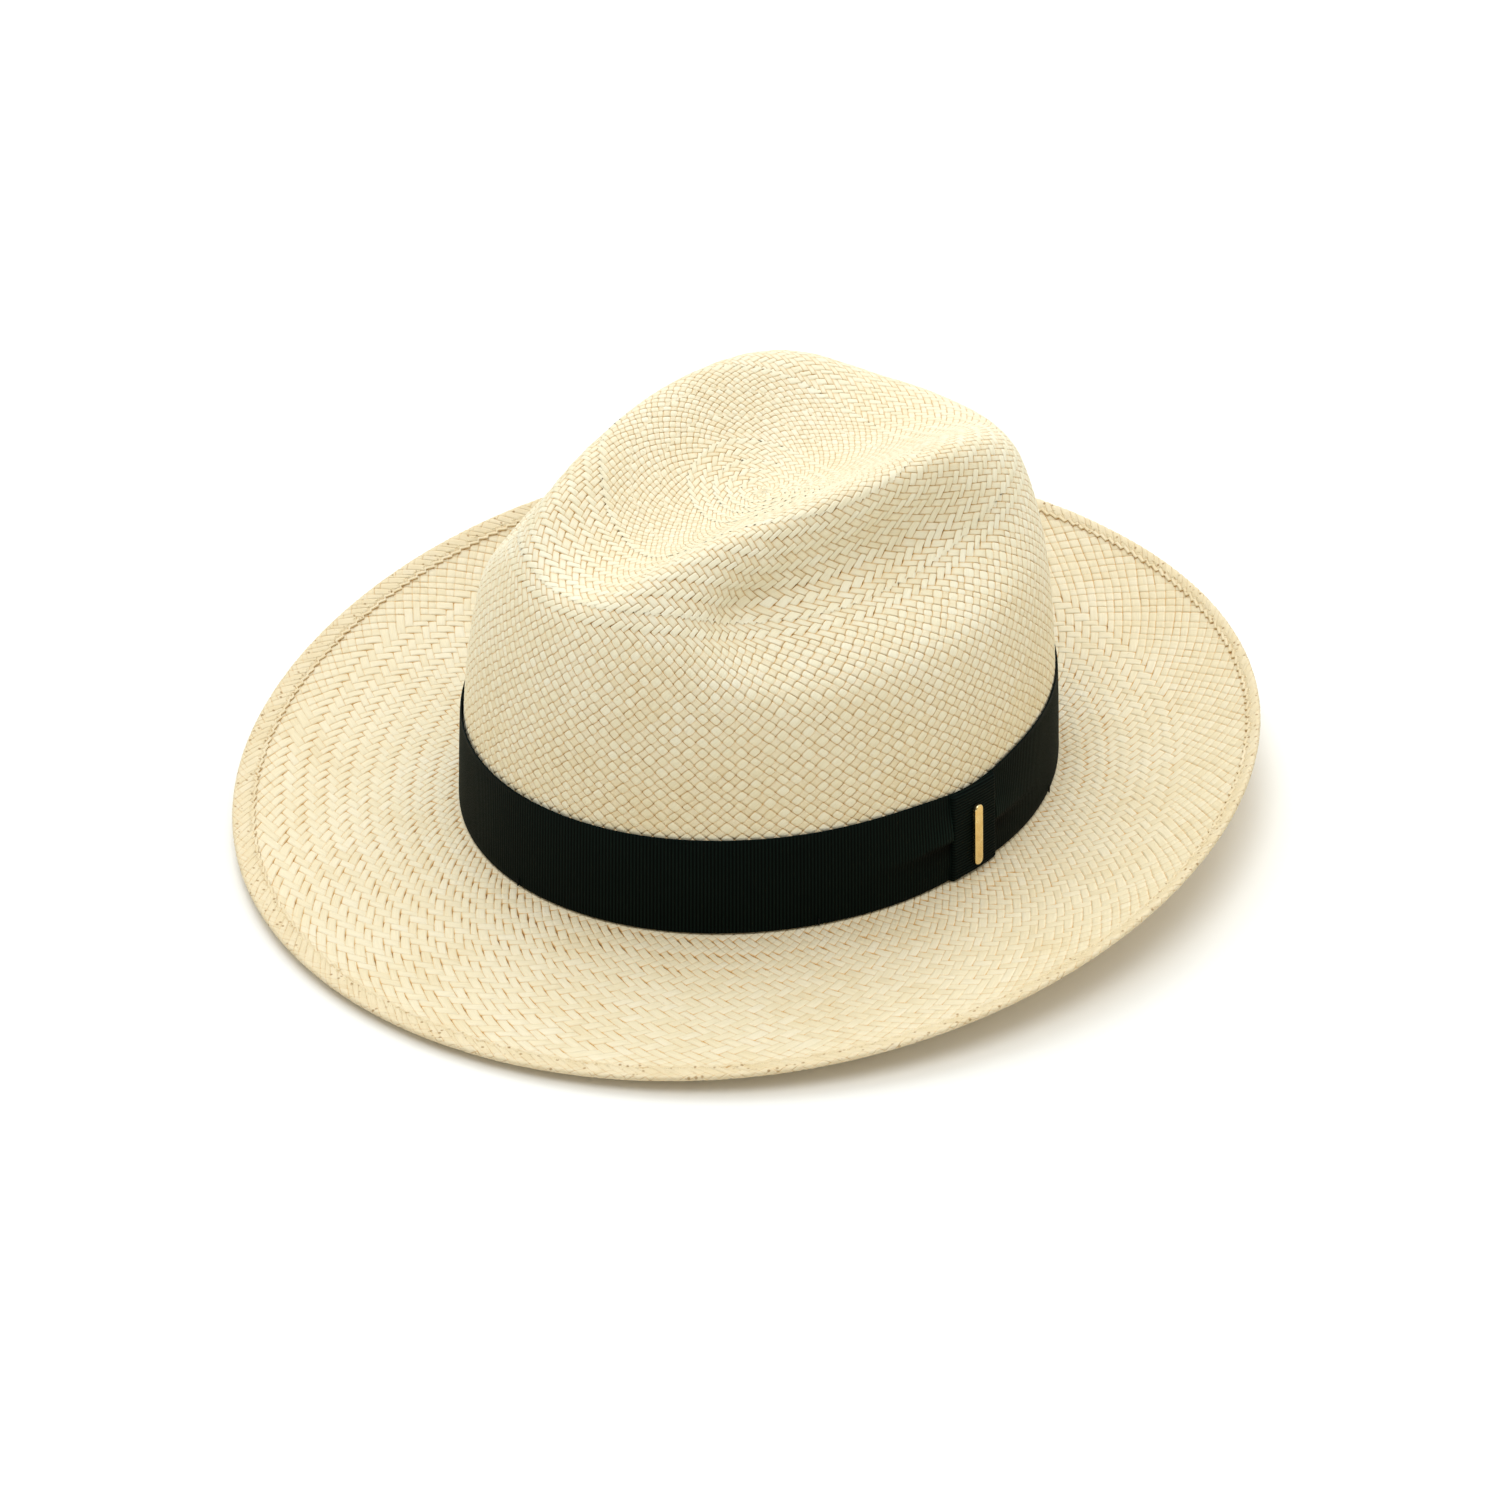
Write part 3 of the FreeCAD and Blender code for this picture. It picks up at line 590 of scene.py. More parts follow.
def ribbon_material(name, ribs_up):
    """Grosgrain: the ribs are in the mesh; the fine threads across them and a painted shade
    between the ribs are here.
    """
    shader = new_shader(name)
    cloth = shader.map("cloth")
    scale = (0.35, 1.0, 1.0) if ribs_up else (1.0, 0.35, 1.0)
    thread = shader.noise(shader.scaled(cloth, scale), 2.6, 3.0, 0.6)
    fine = shader.wave(cloth, 0.9, 1.2, "Y" if ribs_up else "X", 1.0)
    uneven = shader.noise(shader.place(), 55.0, 2.0)
    mixed = shader.math("ADD", shader.times(thread, 0.7), shader.times(uneven, 0.3))
    color = shader.ramp(mixed, (0.3, (0.0022, 0.0062, 0.0050)),
                        (0.75, (0.0066, 0.0148, 0.0118)))
    # Painted shade in the hollows between the ribs.
    between = shader.span(shader.attribute("rib"), -0.6, 0.8, 1.0, 0.0)
    color = shader.mix(between, color, (0.0004, 0.0008, 0.0007, 1))
    # Painted highlight and painted shade of the pleats beside the cross wrap.
    color = shader.shade(color, shader.attribute("painted_light"))
    normal = shader.bump(thread, 0.3, 0.0001, shader.bump(fine, 0.25, 0.00008))
    return shader.finish(Base_Color=color, Roughness=shader.span(thread, 0.3, 0.7, 0.45, 0.65),
                         Normal=normal, Sheen_Weight=0.006, Sheen_Roughness=0.4,
                         Sheen_Tint=(0.45, 0.80, 0.68, 1), Specular_IOR_Level=0.032)


def thread_material(name, dark, light, gloss=0.5):
    shader = new_shader(name)
    ply = shader.wave(shader.place(), 900.0, 2.0, "DIAGONAL")
    return shader.finish(Base_Color=shader.ramp(ply, (0.1, dark), (0.8, light)), Roughness=0.7,
                         Normal=shader.bump(ply, 0.5, 0.00008), Specular_IOR_Level=gloss)


def gilt_material():
    shader = new_shader("gilt")
    place = shader.place()
    wear = shader.noise(place, 420.0, 4.0, 0.6)
    brushed = shader.noise(shader.scaled(place, (6000.0, 6000.0, 500.0)), 1.0, 2.0)
    color = shader.ramp(wear, (0.3, (0.86, 0.62, 0.27)), (0.75, (0.98, 0.82, 0.46)))
    return shader.finish(Base_Color=color, Roughness=shader.span(wear, 0.3, 0.75, 0.16, 0.30),
                         Normal=shader.bump(brushed, 0.08, 0.00003), Metallic=1.0)


def leather_material():
    shader = new_shader("sweatband_leather")
    place = shader.place()
    grain = shader.node("TexVoronoi", ("Vector", place), ("Scale", 1100.0),
                        feature="DISTANCE_TO_EDGE").outputs["Distance"]
    pores = shader.noise(place, 2400.0, 2.0)
    worn = shader.noise(place, 30.0, 3.0)
    color = shader.ramp(worn, (0.3, (0.040, 0.030, 0.025)), (0.7, (0.085, 0.066, 0.054)))
    lines = shader.span(grain, 0.0, 0.12)
    color = shader.mix(lines, (0.022, 0.016, 0.013, 1), color)
    normal = shader.bump(pores, 0.2, 0.00005, shader.bump(lines, 0.35, 0.0001))
    return shader.finish(Base_Color=color, Roughness=shader.span(worn, 0.3, 0.7, 0.42, 0.6),
                         Normal=normal)


def tape_material():
    shader = new_shader("piping_tape")
    cloth = shader.map("cloth")
    warp, weft = (shader.wave(cloth, 0.8, 0.6, direction) for direction in "XY")
    threads = shader.times(warp, weft)
    dirt = shader.times(shader.noise(shader.place(), 60.0, 3.0), 0.5)
    color = shader.ramp(shader.math("MULTIPLY_ADD", threads, 0.5, dirt),
                        (0.2, (0.026, 0.023, 0.020)), (0.7, (0.075, 0.067, 0.060)))
    return shader.finish(Base_Color=color, Roughness=0.82, Sheen_Weight=0.2,
                         Normal=shader.bump(threads, 0.5, 0.0001))


def reed_material():
    shader = new_shader("reed_plastic")
    place = shader.place()
    cloud = shader.noise(place, 90.0, 3.0)
    color = shader.ramp(cloud, (0.3, (0.68, 0.65, 0.58)), (0.7, (0.80, 0.78, 0.72)))
    drawn = shader.noise(shader.scaled(place, (400.0, 400.0, 3000.0)), 1.0, 2.0)
    return shader.finish(Base_Color=color, Roughness=shader.span(cloud, 0.3, 0.7, 0.32, 0.44),
                         Normal=shader.bump(drawn, 0.1, 0.00004))


STRAW_MATERIAL = straw_material("straw")
BRIM_MATERIAL = straw_material("straw_brim", 0.2)
HEM_MATERIAL = straw_material("straw_hem", 0.34, dots=True)
BAND_MATERIAL = ribbon_material("grosgrain", True)
WRAP_MATERIAL = ribbon_material("grosgrain_wrap", False)
STRAW_THREAD = thread_material("straw_thread", (0.74, 0.61, 0.36), (0.90, 0.80, 0.56))
BLACK_THREAD = thread_material("black_thread", (0.0015, 0.002, 0.002), (0.005, 0.006, 0.006), 0.1)
GILT, LEATHER, TAPE, REED = gilt_material(), leather_material(), tape_material(), reed_material()

# ---- crown

# The rows at which the side, the twill belt and the plain belt end, and the height of a row
# in each of them and above.
PLAIN_SIDE, TWILL_BELT, PLAIN_TOP = 54, 86, 106
ROW_STEPS = ((PLAIN_SIDE, 1.72), (TWILL_BELT, 1.32), (PLAIN_TOP, 1.2), (999, 1.0))
FOOT_STRANDS = 144


def crown_share(row):
    """Share of the crown's arc at a row of the weave: the rows get finer towards the middle."""
    arc, start = 0.0, 0
    for end, step in ROW_STEPS:
        arc = arc + np.clip(row - start, -50 if start == 0 else 0, end - start) * step
        start = end
    return arc / CROWN_ARC


def belts(row):
    """True in the two belts that are woven as a twill."""
    return ((row >= PLAIN_SIDE) & (row < TWILL_BELT)) | (row >= PLAIN_TOP)


def crown_over(first, second):
    row = first - second
    return np.where(belts(row), (row + 2) % 4 < 2, row % 2 == 0)


def crown_pits(row, rng):
    """Small holes at the corners: some on the sides, once a period in the twill belt."""
    chance = rng.random(row.shape)
    side_pit = np.where(chance < 0.4, -0.3 - 0.3 * chance, -1.0 - 0.6 * chance)
    belt_pit = np.where(row % 4 == 0, -1.0 - 0.6 * chance, -0.4)
    return np.where(belts(row), belt_pit, side_pit)


def crown_gape(row):
    """Wider gaps on the sides than near the middle of the top."""
    return np.where(row < PLAIN_TOP, 0.05, 0.03)


def crown_zones():
    """(strands, first row, last row) of the rings: a new one has fewer strands, and starts where
    they would lie too close together."""
    last = PLAIN_TOP + int(1.002 * CROWN_ARC - crown_share(PLAIN_TOP) * CROWN_ARC)
    turns = np.linspace(0, 1, 721)
    zones, strands, start = [], FOOT_STRANDS, 0
    for row in range(PLAIN_SIDE + 2, last, 4):
        around = arc_of(crown_at(turns, np.full(turns.shape, crown_share(row))))[-1]
        least, usual = (3.25, 3.8) if row < 74 else (2.65, 3.25)
        if around / strands < least and around > 24:
            zones.append((strands, start, row))
            strands, start = max(8, round(around / usual)), row
    zones.append((strands, start, last))
    return zones


def crown_place(turn, row):
    return crown_at(turn, np.minimum(crown_share(row), 0.9997))


for number, (strands, start, end) in enumerate(crown_zones()):
    rows = (-1 if number == 0 else start - 0.2), end + 0.2
    weave(f"straw_crown_{number}", crown_place, strands, rows, crown_over, STRAW_MATERIAL,
          base=0.03, relief=0.36, levels=(0.6, 1.0), grooves=(-0.05, 0.2), openness=(0.7, 1.0),
          gape=crown_gape, roundness=0.17, bulge=0.12, pits=crown_pits, slits=0,
          in_twill=lambda first, second: belts(first - second), seed=20 + number)
    weave(f"straw_lining_{number}", crown_place, strands, rows, reverse(crown_over),
          STRAW_MATERIAL, lines=COARSE, side=-1, base=STRAW, relief=0.25, seed=60 + number)

# ---- brim

BRIM_STRANDS = 190


def brim_angle(turn):
    """The strands lie closer together at the sides than in front and behind."""
    angle = turn * FULL
    return angle + 0.075 * np.sin(2 * angle)


def row_depth(angle):
    """A ring of the twill is four rows."""
    return (6.8 - 0.5 * np.cos(2 * angle)) / 4


def brim_place(turn, row):
    angle = brim_angle(turn)
    return brim_at(angle, row * row_depth(angle))


def brim_twill(first, second):
    """False near the brim's edge: in the last 24 mm behind, and only round the hem in front."""
    angle = brim_angle((first + second) / 2 / BRIM_STRANDS)
    plain_width = 16.5 - 8.0 * np.cos(angle)
    return first - second <= (brim_width(angle) - plain_width) / row_depth(angle)


def brim_over(first, second):
    """Twill in rings, then a plain weave."""
    row = first - second
    return np.where(brim_twill(first, second), row % 4 < 2, row % 2 == 0)


def brim_pits(row, rng):
    chance = rng.random(row.shape)
    outer = np.where(chance < 0.25, -0.9, 0.1)
    return np.where(row % 4 == 2, -0.5 - 0.8 * chance, np.where(row > 26, outer, -0.1))


def near_band(row):
    """1 next to the band, where the weave is more open, and 0 further out."""
    return np.exp(-(row / 9.0) ** 2)


def under_hem(reach):
    """True up to a distance out from the hem's inner edge."""
    def inside(turn, row):
        angle = brim_angle(turn)
        return row * row_depth(angle) < brim_width(angle) - hem_width(angle) + reach
    return inside


weave("straw_brim", brim_place, BRIM_STRANDS, (-1, 44), brim_over, BRIM_MATERIAL, side=-1,
      relief=0.34, grooves=(0.3, 0.15), openness=(0.62, 1.0),
      opening=lambda row: 0.7 * near_band(row), gape=lambda row: 0.055 + 0.10 * near_band(row),
      pits=brim_pits, slits=2, in_twill=brim_twill, keep=under_hem(1.2), seed=7)
weave("straw_brim_underside", brim_place, BRIM_STRANDS, (-2, 44), reverse(brim_over),
      BRIM_MATERIAL, lines=COARSE, base=STRAW, relief=0.25, keep=under_hem(0.8), seed=8)

# ---- hem

HEM_STRANDS = 300
HEM_ROW = 1.22


def hem_angle(turn):
    angle = turn * FULL
    return angle + 0.02 * np.sin(2 * angle)


def hem_place(turn, row):
    return hem_at(hem_angle(turn), row * HEM_ROW)


def whole_hem(turn, row):
    """The fold ends below a little further in than its edge on top."""
    return row * HEM_ROW < 2 * hem_width(hem_angle(turn)) + 3.3


def hem_over(first, second):
    row = first - second
    return np.where((row > 2) & (row < 12), row % 2 == 0, (row + 1) % 4 < 2)


def hem_pits(row, rng):
    chance = rng.random(row.shape)
    return np.where(chance < 0.16, -1.2, np.where(chance < 0.3, -0.6, 0.35))


weave("straw_hem", hem_place, HEM_STRANDS, (-1, 15), hem_over, HEM_MATERIAL, side=-1,
      relief=0.26, grooves=(0.35, 0.35), openness=(0.8, 0.8), sway=0.18, pits=hem_pits,
      keep=whole_hem, seed=9)

# ---- ovals round the crown

def oval_size(height, offset):
    """Half length and half width of an oval round the crown, a distance outside the straw."""
    def scale(power):
        return (1 - (np.abs(height) / HEIGHT) ** power) ** (1 / power) * (1 - LEAN * height)
    return (HALF_LENGTH * scale(FULLNESS_FRONT) + offset,
            HALF_WIDTH * scale(FULLNESS_SIDE) + offset)


def oval_at(angle, height, offset):
    length, width = oval_size(height, offset)
    return np.stack([width * np.sin(angle), -length * np.cos(angle),
                     np.broadcast_to(height, np.shape(width * angle)).astype(float)], -1)


def even_angles(count):
    """Angles at even steps round the band, the lengths up to them and the length all round."""
    fine = np.linspace(0, FULL, 7201)
    arc = arc_of(oval_at(fine, np.float64(BAND_MIDDLE), np.float64(0.9)))
    along = np.linspace(0, arc[-1], count, endpoint=False)
    return np.interp(along, arc, fine), along, arc[-1]


def ring_piece(name, points, cloth, material, replaced):
    """A closed ring whose section is a closed loop: points[column, corner]. cloth holds the
    lengths of its columns and corners along and across the cloth."""
    columns, corners = points.shape[:2]
    index = np.arange(columns * corners).reshape(columns, corners)
    ahead, up = np.roll(index, -1, axis=0), np.roll(index, -1, axis=1)
    both = np.roll(ahead, -1, axis=1)
    faces = np.stack([index, ahead, both, up], -1).reshape(-1, 4)
    piece = mesh_of(name, points.reshape(-1, 3), faces, material, replaced)
    if cloth is not None:
        around, above = cloth
        step = around[1] - around[0]
        u = around[:, None, None] + np.array([0, step, step, 0])
        v_low, v_high = above, np.roll(above, -1)
        v = np.stack([v_low, v_low, v_high, v_high], -1)[None]
        corner_values(piece, "cloth", np.stack(np.broadcast_arrays(u, v), -1))
    return piece


# ---- folded edge of the hem

def hem_edge():
    """The inner edge of the hem on top: one strand end after another, each a little apart."""
    steps = 10  # along one tooth
    rng = np.random.default_rng(11)
    teeth = rng.uniform(0.65, 1.15, HEM_TEETH)
    tooth = np.arange(HEM_TEETH * steps) // steps
    angle = np.arange(HEM_TEETH * steps) * FULL / (HEM_TEETH * steps)
    edge = -0.5 + 0.9 * hem_tooth(angle) * teeth[tooth]
    lifts = rng.uniform(-0.04, 0.07, HEM_TEETH)[tooth]
    # Each corner of the section: how far out and how high it is, and its depth in the weave,
    # which also gives the step under the edge a tan, slightly darkened colour as painted shade.
    section = np.array([(0.02, 0.60), (-0.05, 0.46), (-0.04, 0.12), (0.02, -0.45), (0.8, -0.3),
                        (0.9, 0.40), (0.72, 0.60), (0.45, 0.71), (0.18, 0.71)])
    depth = np.array([0.85, 0.38, 0.0, -0.3, 0.0, 0.5, 0.9, 1.0, 1.0])
    out = edge[:, None] + section[:, 0]
    height = section[:, 1] + lifts[:, None] * (section[:, 1] > 0.4)
    points = near_edge(np.broadcast_to(angle[:, None], out.shape), out, height)
    piece = ring_piece("straw_hem_edge", points, None, HEM_MATERIAL, ("straw_body",))
    corners = len(section)
    store_values(piece, "depth", np.broadcast_to(depth, out.shape))
    tones = rng.random(HEM_TEETH)[tooth]
    store_values(piece, "tone", np.broadcast_to(tones[:, None], out.shape), "FACE")
    across = np.arange(corners)[None, :, None] / corners + np.array([0, 0, 1, 1]) / corners
    along = (np.arange(len(angle))[:, None, None] + np.array([0, 1, 1, 0])) / 4
    corner_values(piece, "strand", np.stack(np.broadcast_arrays(across, along), -1))


hem_edge()

# ---- ribbon band

RIBS = 560
COLUMNS_PER_RIB = 4
WRAP_DROP = 2.1  # how far the cross wrap pulls the band's upper edge down
PLEAT_LENGTH = 15.0


def pleats(distance, above):
    """How far the pinched ribbon stands out beside the cross wrap, and a painted highlight on its
    upper side and painted shade on its underside, as a factor on its colour."""
    away = np.abs(distance) - KNOT_WIDTH / 2
    fade = np.exp(-(np.maximum(away, 0) / PLEAT_LENGTH) ** 1.5) * soft_step((away + 2.2) / 2.2)
    behind = distance > 0
    beside = above - np.where(behind, 14.6 - 0.08 * away, 15.9 - 0.07 * away)
    gentle, sharp = np.where(behind, 8.5, 8.0), np.where(behind, 1.1, 1.0)
    hill = np.exp(-(beside / np.where(beside > 0, gentle, sharp)) ** 2)
    second = np.exp(-((above - (8.0 - 0.25 * away)) / 2.2) ** 2)
    # Painted highlight above the pleat's crest and painted shade below it, multiplied into the
    # ribbon's colour.
    light = np.where(beside > 0, 0.9 * np.exp(-(beside / 8) ** 2),
                     -0.85 * np.exp(-((beside + 1.5) / 4.0) ** 2))
    return fade * (1.5 * hill + 0.3 * second), fade * light


def band_ring():
    """The ribbon round the crown. Its section is a list of (distance from the straw, height)."""
    angles, along, length = even_angles(RIBS * COLUMNS_PER_RIB)
    knot = np.interp(KNOT_ANGLE, angles, along)
    distance = (along - knot + length / 2) % length - length / 2
    low, high = BAND_LOW, BAND_HIGH
    inner_rows = [(0.34, high - 0.25), (0.30, BAND_MIDDLE), (0.34, low + 0.25)]
    low_edge = [(0.50, low + 0.02), (0.74, low + 0.02), (0.88, low + 0.22)]
    face = [(0.9, height) for height in np.linspace(low + 0.6, high - 0.6, 27)]
    high_edge = [(0.88, high - 0.22), (0.74, high - 0.02), (0.50, high - 0.02)]
    section = np.array(inner_rows + low_edge + face + high_edge)
    offset = np.broadcast_to(section[:, 0], (len(angles), len(section)))
    above = np.broadcast_to(section[:, 1], offset.shape)
    rib = np.broadcast_to(np.cos(along / length * RIBS * FULL)[:, None], offset.shape)
    front = soft_step((offset - 0.45) / 0.4)
    rng = np.random.default_rng(3)
    wave = sum(size * np.sin(along / length * FULL * turns + rng.random() * FULL)
               for turns, size in ((3, 0.06), (7, 0.05), (13, 0.03)))[:, None]
    selvage = soft_step((np.minimum(above - low, high - above) - 0.3) / 0.9)
    pleat, light = pleats(distance[:, None], above)
    out = offset + front * (0.07 * rib * selvage + pleat * 0.85)
    pinch = np.exp(-(distance / 17.0) ** 2)[:, None]
    level = (above - low) / (high - low)
    height = above + pinch * (0.5 - (0.5 + WRAP_DROP) * level) + wave * 0.5
    points = oval_at(angles[:, None], height, out)
    piece = ring_piece("hat_band_ribbon", points, (along, section[:, 1]),
                       BAND_MATERIAL, ("hat_band",))
    # rib also sets the painted shade between the ribs.
    store_values(piece, "rib", rib)
    # The pleats' painted highlight and painted shade.
    store_values(piece, "painted_light", 1 + light)


band_ring()

# ---- cross wrap

def cross_wrap():
    """The short ribbon round the band, with its ribs across and its ends tucked behind."""
    columns, steps = 37, 160
    bend = [(0.34, 0.12), (0.8, -0.08), (1.35, -0.10), (1.85, 0.12), (2.12, 0.55), (2.2, 1.2)]
    upper = [(offset, BAND_HIGH - WRAP_DROP - above) for offset, above in reversed(bend)]
    outline = np.array([(offset, BAND_LOW + above) for offset, above in bend] + upper)
    arc = arc_of(outline)
    fine = np.linspace(0, arc[-1], steps * 2 + 1)
    offset = np.interp(fine, arc, outline[:, 0])
    above = np.interp(fine, arc, outline[:, 1])
    aside = np.linspace(-1, 1, columns)
    aside = np.sign(aside) * np.abs(aside) ** 0.8 * KNOT_WIDTH / 2
    half_length, half_width = oval_size(BAND_MIDDLE, 0)
    radius = (half_length * abs(math.sin(KNOT_ANGLE))
              + half_width * abs(math.cos(KNOT_ANGLE)))
    angle = KNOT_ANGLE + aside / radius
    edge = np.clip((KNOT_WIDTH / 2 - np.abs(aside)) / 0.9, 0, 1)
    drop = (1 - np.sqrt(1 - (1 - edge) ** 2))[:, None] * 0.85
    slant = fine[None, :] + 0.05 * aside[:, None]
    rib = np.cos(slant / 0.98 * FULL)
    hollow = 0.25 * np.exp(-((above - BAND_MIDDLE) / 9) ** 2)[None, :]
    hollow = hollow * (1 - (aside[:, None] / 10) ** 2)
    inside = soft_step((offset - 0.4) / 0.8)[None, :]
    lift = offset[None, :] + (0.09 * rib * edge[:, None] - drop - hollow) * inside
    narrow = 1 - 0.025 * np.exp(-((above - BAND_MIDDLE) / 10) ** 2)[None, :]
    angle = KNOT_ANGLE + (angle[:, None] - KNOT_ANGLE) * narrow
    front = oval_at(angle, np.broadcast_to(above, lift.shape), lift)
    thin = np.maximum(lift - 0.8, np.minimum(lift - 0.02, 0.32))
    middle = (BAND_LOW + BAND_HIGH) / 2
    squeeze = middle + (above - middle) * (1 - 0.3 / BAND_MIDDLE)
    back = oval_at(angle, np.broadcast_to(squeeze, lift.shape), thin)
    points = np.concatenate([front, back[::-1]], axis=0)
    rows, count = points.shape[:2]
    index = np.arange(rows * count).reshape(rows, count)
    ahead = np.roll(index, -1, axis=0)
    faces = np.stack([index[:, :-1], ahead[:, :-1], ahead[:, 1:], index[:, 1:]], -1)
    caps = []
    for end, flip in ((0, True), (count - 1, False)):
        strip = np.stack([index[:columns - 1, end], index[rows - 1:rows - columns:-1, end],
                          index[rows - 2:rows - columns - 1:-1, end], index[1:columns, end]], -1)
        caps.append(strip[:, ::-1] if flip else strip)
    faces = np.concatenate([faces.reshape(-1, 4), *caps])
    piece = mesh_of("cross_wrap_ribbon", points.reshape(-1, 3), faces,
                    WRAP_MATERIAL, ("band_cross_wrap",))
    ribs = np.concatenate([rib, rib[::-1]], axis=0)
    store_values(piece, "rib", ribs)
    # No painted light on the cross wrap.
    store_values(piece, "painted_light", np.ones_like(ribs))
    both_sides = np.concatenate([aside, aside[::-1]])[:, None]
    flat = np.stack(np.broadcast_arrays(both_sides, fine[None, :]), -1).reshape(-1, 2)
    corner_values(piece, "cloth", flat[faces.ravel()])


cross_wrap()

# ---- CAD nodes that keep their shape

for node, material in (("metal_bar", GILT), ("band_tack_stitches", BLACK_THREAD),
                       ("sweatband_reed", REED)):
    kept = frame["nodes"][node]
    if not kept.material_slots:
        kept.data.materials.append(material)
    for material_slot in kept.material_slots:
        material_slot.material = material

# ---- threads

def stitches(name, place, length, pitch, thread, replaced, seed, bulge):
    """A row of separate stitches of thread, a radius, that arch over the seam by bulge.
    place(angle) gives the seam's line and its outward normal."""
    corners, rings = 8, 9
    rng = np.random.default_rng(seed)
    fine = np.linspace(0, FULL, 3601)
    arc = arc_of(place(fine)[0])
    count = round(arc[-1] / pitch)
    starts = np.arange(count) * arc[-1] / count + rng.uniform(-0.12, 0.12, count) * pitch
    lengths = length * rng.uniform(0.85, 1.12, count)
    share = np.linspace(-1, 1, rings)
    middle = starts[:, None] + share[None, :] * lengths[:, None] / 2
    angle = np.interp(middle % arc[-1], arc, fine)
    centre, up = place(angle)
    aside = np.cross(unit(np.gradient(centre, axis=1)), up)
    lean = rng.uniform(-0.22, 0.22, count)[:, None, None] * share[None, :, None]
    arch = (bulge - (bulge + thread * 1.2) * share ** 4)[None, :, None]
    centre = centre + up * arch + aside * lean
    radius = thread * np.sqrt(np.maximum(1 - share ** 6, 0.02))[None, :, None]
    turns = [FULL * corner / corners for corner in range(corners)]
    points = np.stack([centre + (aside * math.cos(turn) + up * math.sin(turn)) * radius
                       for turn in turns], axis=2)
    index = np.arange(count * rings * corners).reshape(count, rings, corners)
    around = np.roll(index, -1, axis=2)
    sides = np.stack([index[:, :-1], index[:, 1:], around[:, 1:], around[:, :-1]], -1)
    quads = [0, 1, 2, 3], [0, 3, 4, 7], [4, 5, 6, 7]
    caps = [index[:, 0][:, quad] for quad in quads]
    caps += [index[:, -1][:, quad[::-1]] for quad in quads]
    faces = np.concatenate([sides.reshape(-1, 4), *caps])
    mesh_of(name, points.reshape(-1, 3), faces, STRAW_THREAD, replaced)


def hem_seam(angle):
    """The hem's seam, a little out from its inner edge."""
    path = np.full(np.shape(angle), 1.6)
    point = hem_at(angle, path)
    aside = hem_at(angle + 0.004, path) - point
    up = unit(np.cross(hem_at(angle, path + 0.5) - point, aside))
    return point + up * 0.02, up


def sweat_seam(angle):
    """The seam in the channel near the sweatband's lower edge."""
    point = oval_at(angle, np.float64(3.4), np.float64(-3.08))
    inwards = -np.stack([np.sin(angle) / HALF_WIDTH, -np.cos(angle) / HALF_LENGTH,
                         np.zeros_like(angle)], -1)
    return point, unit(inwards)


stitches("hem_stitches", hem_seam, 1.7, 3.9, 0.13, ("hem_stitching",), 4, 0.06)
stitches("sweatband_stitches", sweat_seam, 2.4, 3.2, 0.25, ("sweatband_stitching",), 5, 0.1)

# ---- sweatband and piping

def sweatband():
    """The strip inside the crown, a little wavy, with a channel for its seam."""
    angles, along, _ = even_angles(900)
    section = [(-2.1, 34.9), (-2.06, 18.0), (-2.1, 2.0), (-2.3, 1.5), (-2.8, 1.5)]
    section += [(-3.03, height) for height in np.linspace(2.0, 35.0, 26)]
    section += [(-2.85, 35.45), (-2.4, 35.5)]
    section = np.array(section)
    offset = np.broadcast_to(section[:, 0], (len(angles), len(section)))
    above = np.broadcast_to(section[:, 1], offset.shape)
    inner = soft_step((-offset - 2.4) / 0.6)
    channel = np.exp(-((above - 3.4) / 0.7) ** 2) * 0.22
    ripple = 0.16 * np.sin(along * 0.21)[:, None] * np.sin(along * 0.047)[:, None] ** 2
    ripple = ripple * soft_step((above - 8) / 24)
    out = offset + inner * (channel + ripple)
    height = above + 0.18 * np.sin(along * 0.09)[:, None] * soft_step((above - 20) / 15)
    points = oval_at(angles[:, None], height, out)
    ring_piece("sweatband_strip", points, (along, section[:, 1]), LEATHER,
               ("sweatband",))


def piping():
    """The tape tube under the sweatband, puckered on its upper side."""
    angles, along, length = even_angles(1100)
    corners = np.linspace(0, FULL, 20, endpoint=False)
    pucker = 0.05 * np.sin(along / length * FULL * 188)[:, None] * (0.5 + 0.5 * np.sin(corners))
    radius = 1.1 + pucker
    out = -3.2 - radius * np.cos(corners)
    height = -0.1 + radius * np.sin(corners)
    points = oval_at(angles[:, None], height, out)
    ring_piece("piping_tape", points, (along, corners * 1.15), TAPE,
               ("sweatband_piping",))


sweatband()
piping()

# ---- floor, light and camera

def floor():
    mesh = bpy.data.meshes.new("floor")
    far = 6.0
    corners = [(-far, -far, 0), (far, -far, 0), (far, far, 0), (-far, far, 0)]
    mesh.from_pydata(corners, [], [(0, 1, 2, 3)])
    piece = new_object("floor", mesh)
    shader = new_shader("floor")
    grain = shader.noise(shader.place(), 3.0, 2.0)
    color = shader.ramp(grain, (0.2, (0.92, 0.905, 0.86)), (0.8, (0.94, 0.925, 0.88)))
    mesh.materials.append(shader.finish(Base_Color=color, Roughness=0.9,
                                        Emission_Color=(0.98, 0.985, 1.0, 1),
                                        Emission_Strength=0.01))


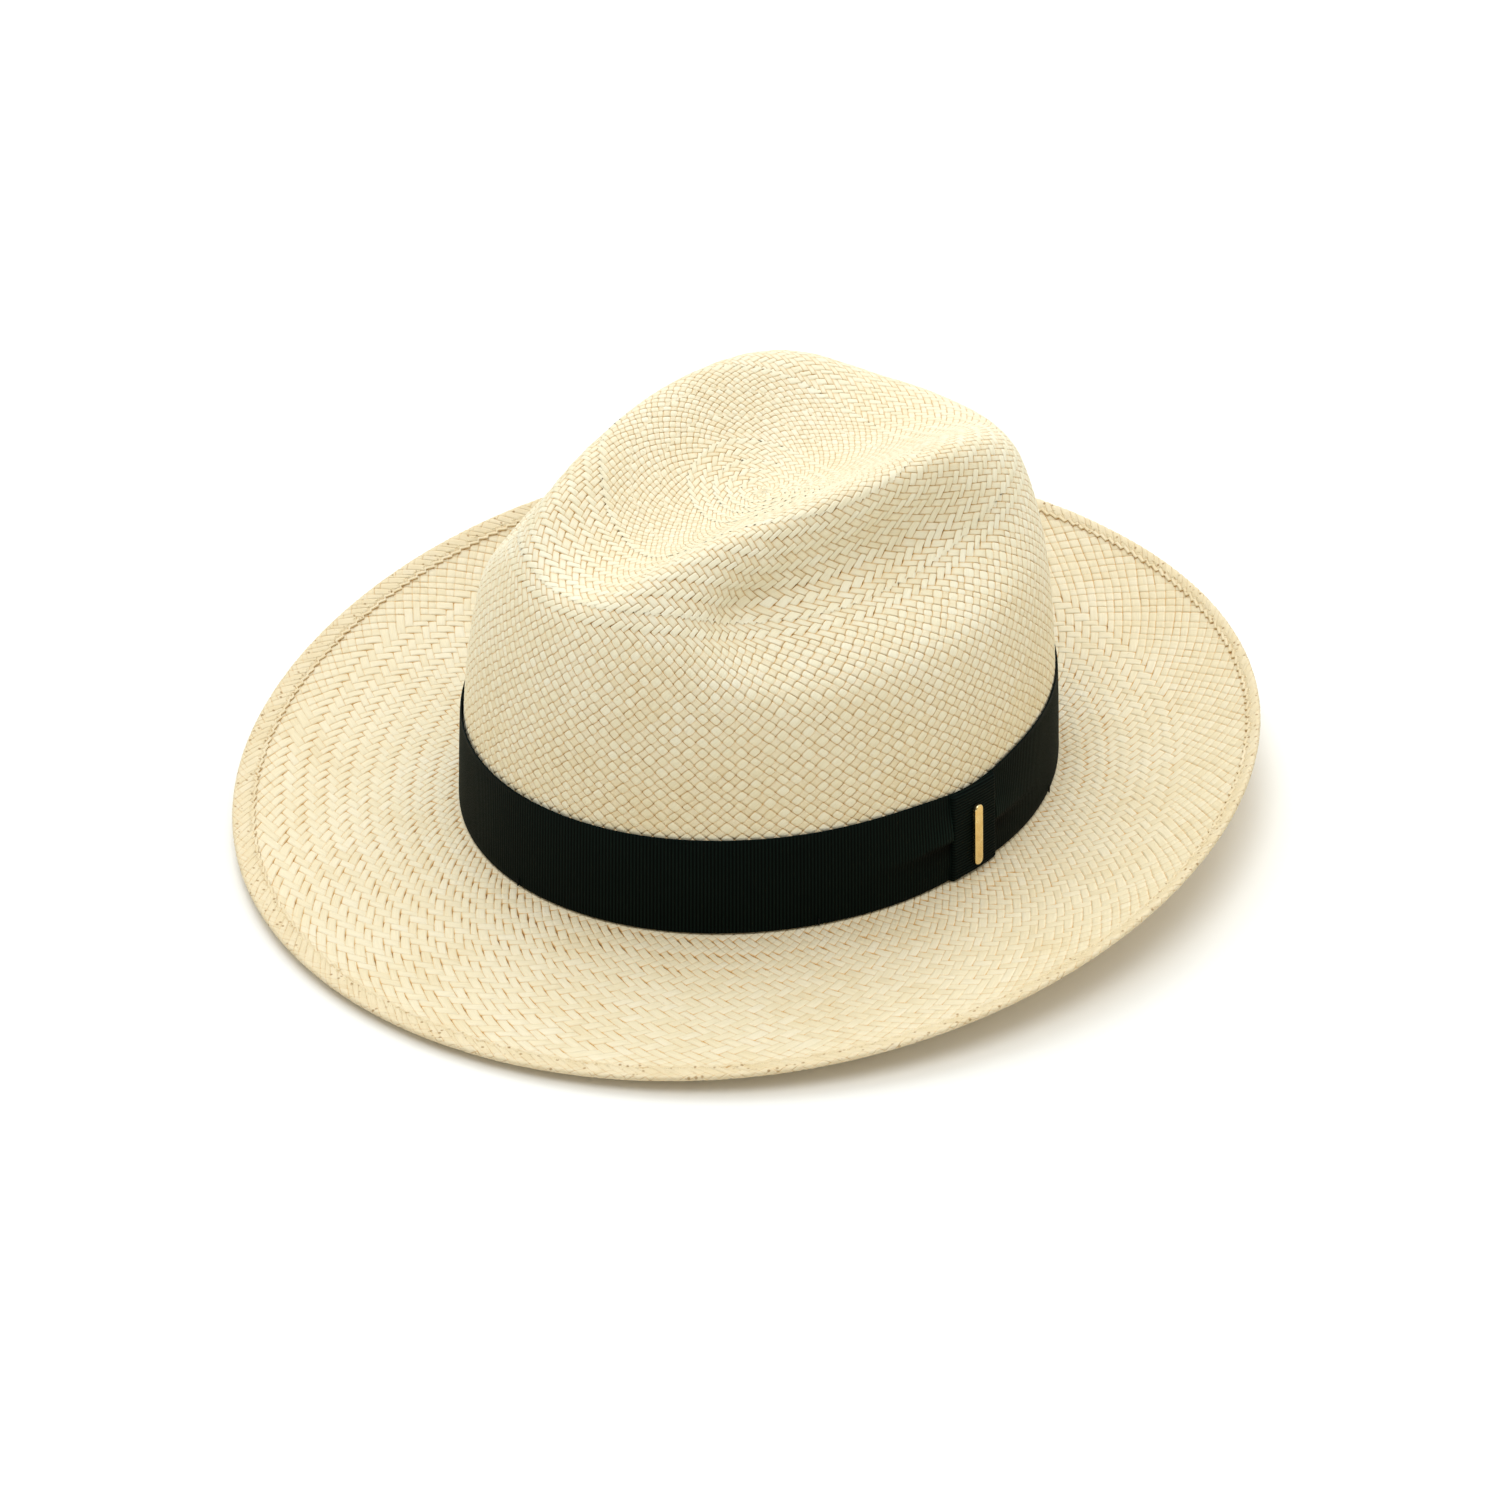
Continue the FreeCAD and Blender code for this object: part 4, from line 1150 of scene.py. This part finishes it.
def stand(name, data, place, direction):
    """Puts a light or a camera at a place, looking along a direction."""
    made = new_object(name, data)
    made.location = place
    made.rotation_mode = "QUATERNION"
    made.rotation_quaternion = direction.to_track_quat("-Z", "Y")
    return made


def area_light(name, place, aim, size, watts, color=(1, 1, 1)):
    data = bpy.data.lights.new(name, "AREA")
    data.shape, data.size, data.energy, data.color = "DISK", size, watts, color
    stand(name, data, place, Vector(aim) - Vector(place))


def world(low, high):
    """A pale studio, a little brighter above than at the sides and dimmest at the hat's front."""
    made = bpy.data.worlds.new("studio")
    sky = Nodes(made)
    direction = sky.node("TexCoord").outputs["Generated"]
    up = sky.node("SeparateXYZ", (0, direction)).outputs["Z"]
    color = sky.ramp(up, (0, (low, low * 0.955, low * 0.77)),
                     (1, (high * 0.97, high * 0.99, high * 1.03)))
    ahead = sky.node("VectorMath", (0, direction), (1, (0.567, -0.810, 0.150)),
                     operation="DOT_PRODUCT").outputs["Value"]
    dim = sky.span(ahead, 0.1, 0.95, 1.0, 0.25)
    light = sky.node("VectorMath", (0, color), ("Scale", dim), operation="SCALE").outputs[0]
    sky.put(sky.tree.nodes["Background"], "Color", light)
    bpy.context.scene.world = made


def camera():
    """Stands where the hat is seen from its left front, a metre away."""
    azimuth, elevation = math.radians(46.159), math.radians(32.958)
    back = Vector((math.sin(azimuth) * math.cos(elevation),
                   -math.cos(azimuth) * math.cos(elevation), math.sin(elevation)))
    data = bpy.data.cameras.new("camera")
    data.lens, data.sensor_width = 75.29, 36.0
    target, distance = Vector((-0.00645, 0.00648, 0.00367)), 1.007376
    bpy.context.scene.camera = stand("camera", data, target + back * distance, -back)


floor()
area_light("key", (-0.7, 0.35, 1.8), (0, 0, 0.05), 1.3, 11.1, (0.82, 0.92, 1.0))
area_light("fill", (0.4, -0.7, 2.2), (0, 0, 0.05), 1.4, 19.2, (0.97, 0.99, 1.0))
area_light("rim", (-0.55, 1.5, 0.8), (0, 0, 0.03), 0.5, 2.4)
world(0.75, 1.01)
camera()
bpy.context.scene.view_settings.view_transform = "Standard"
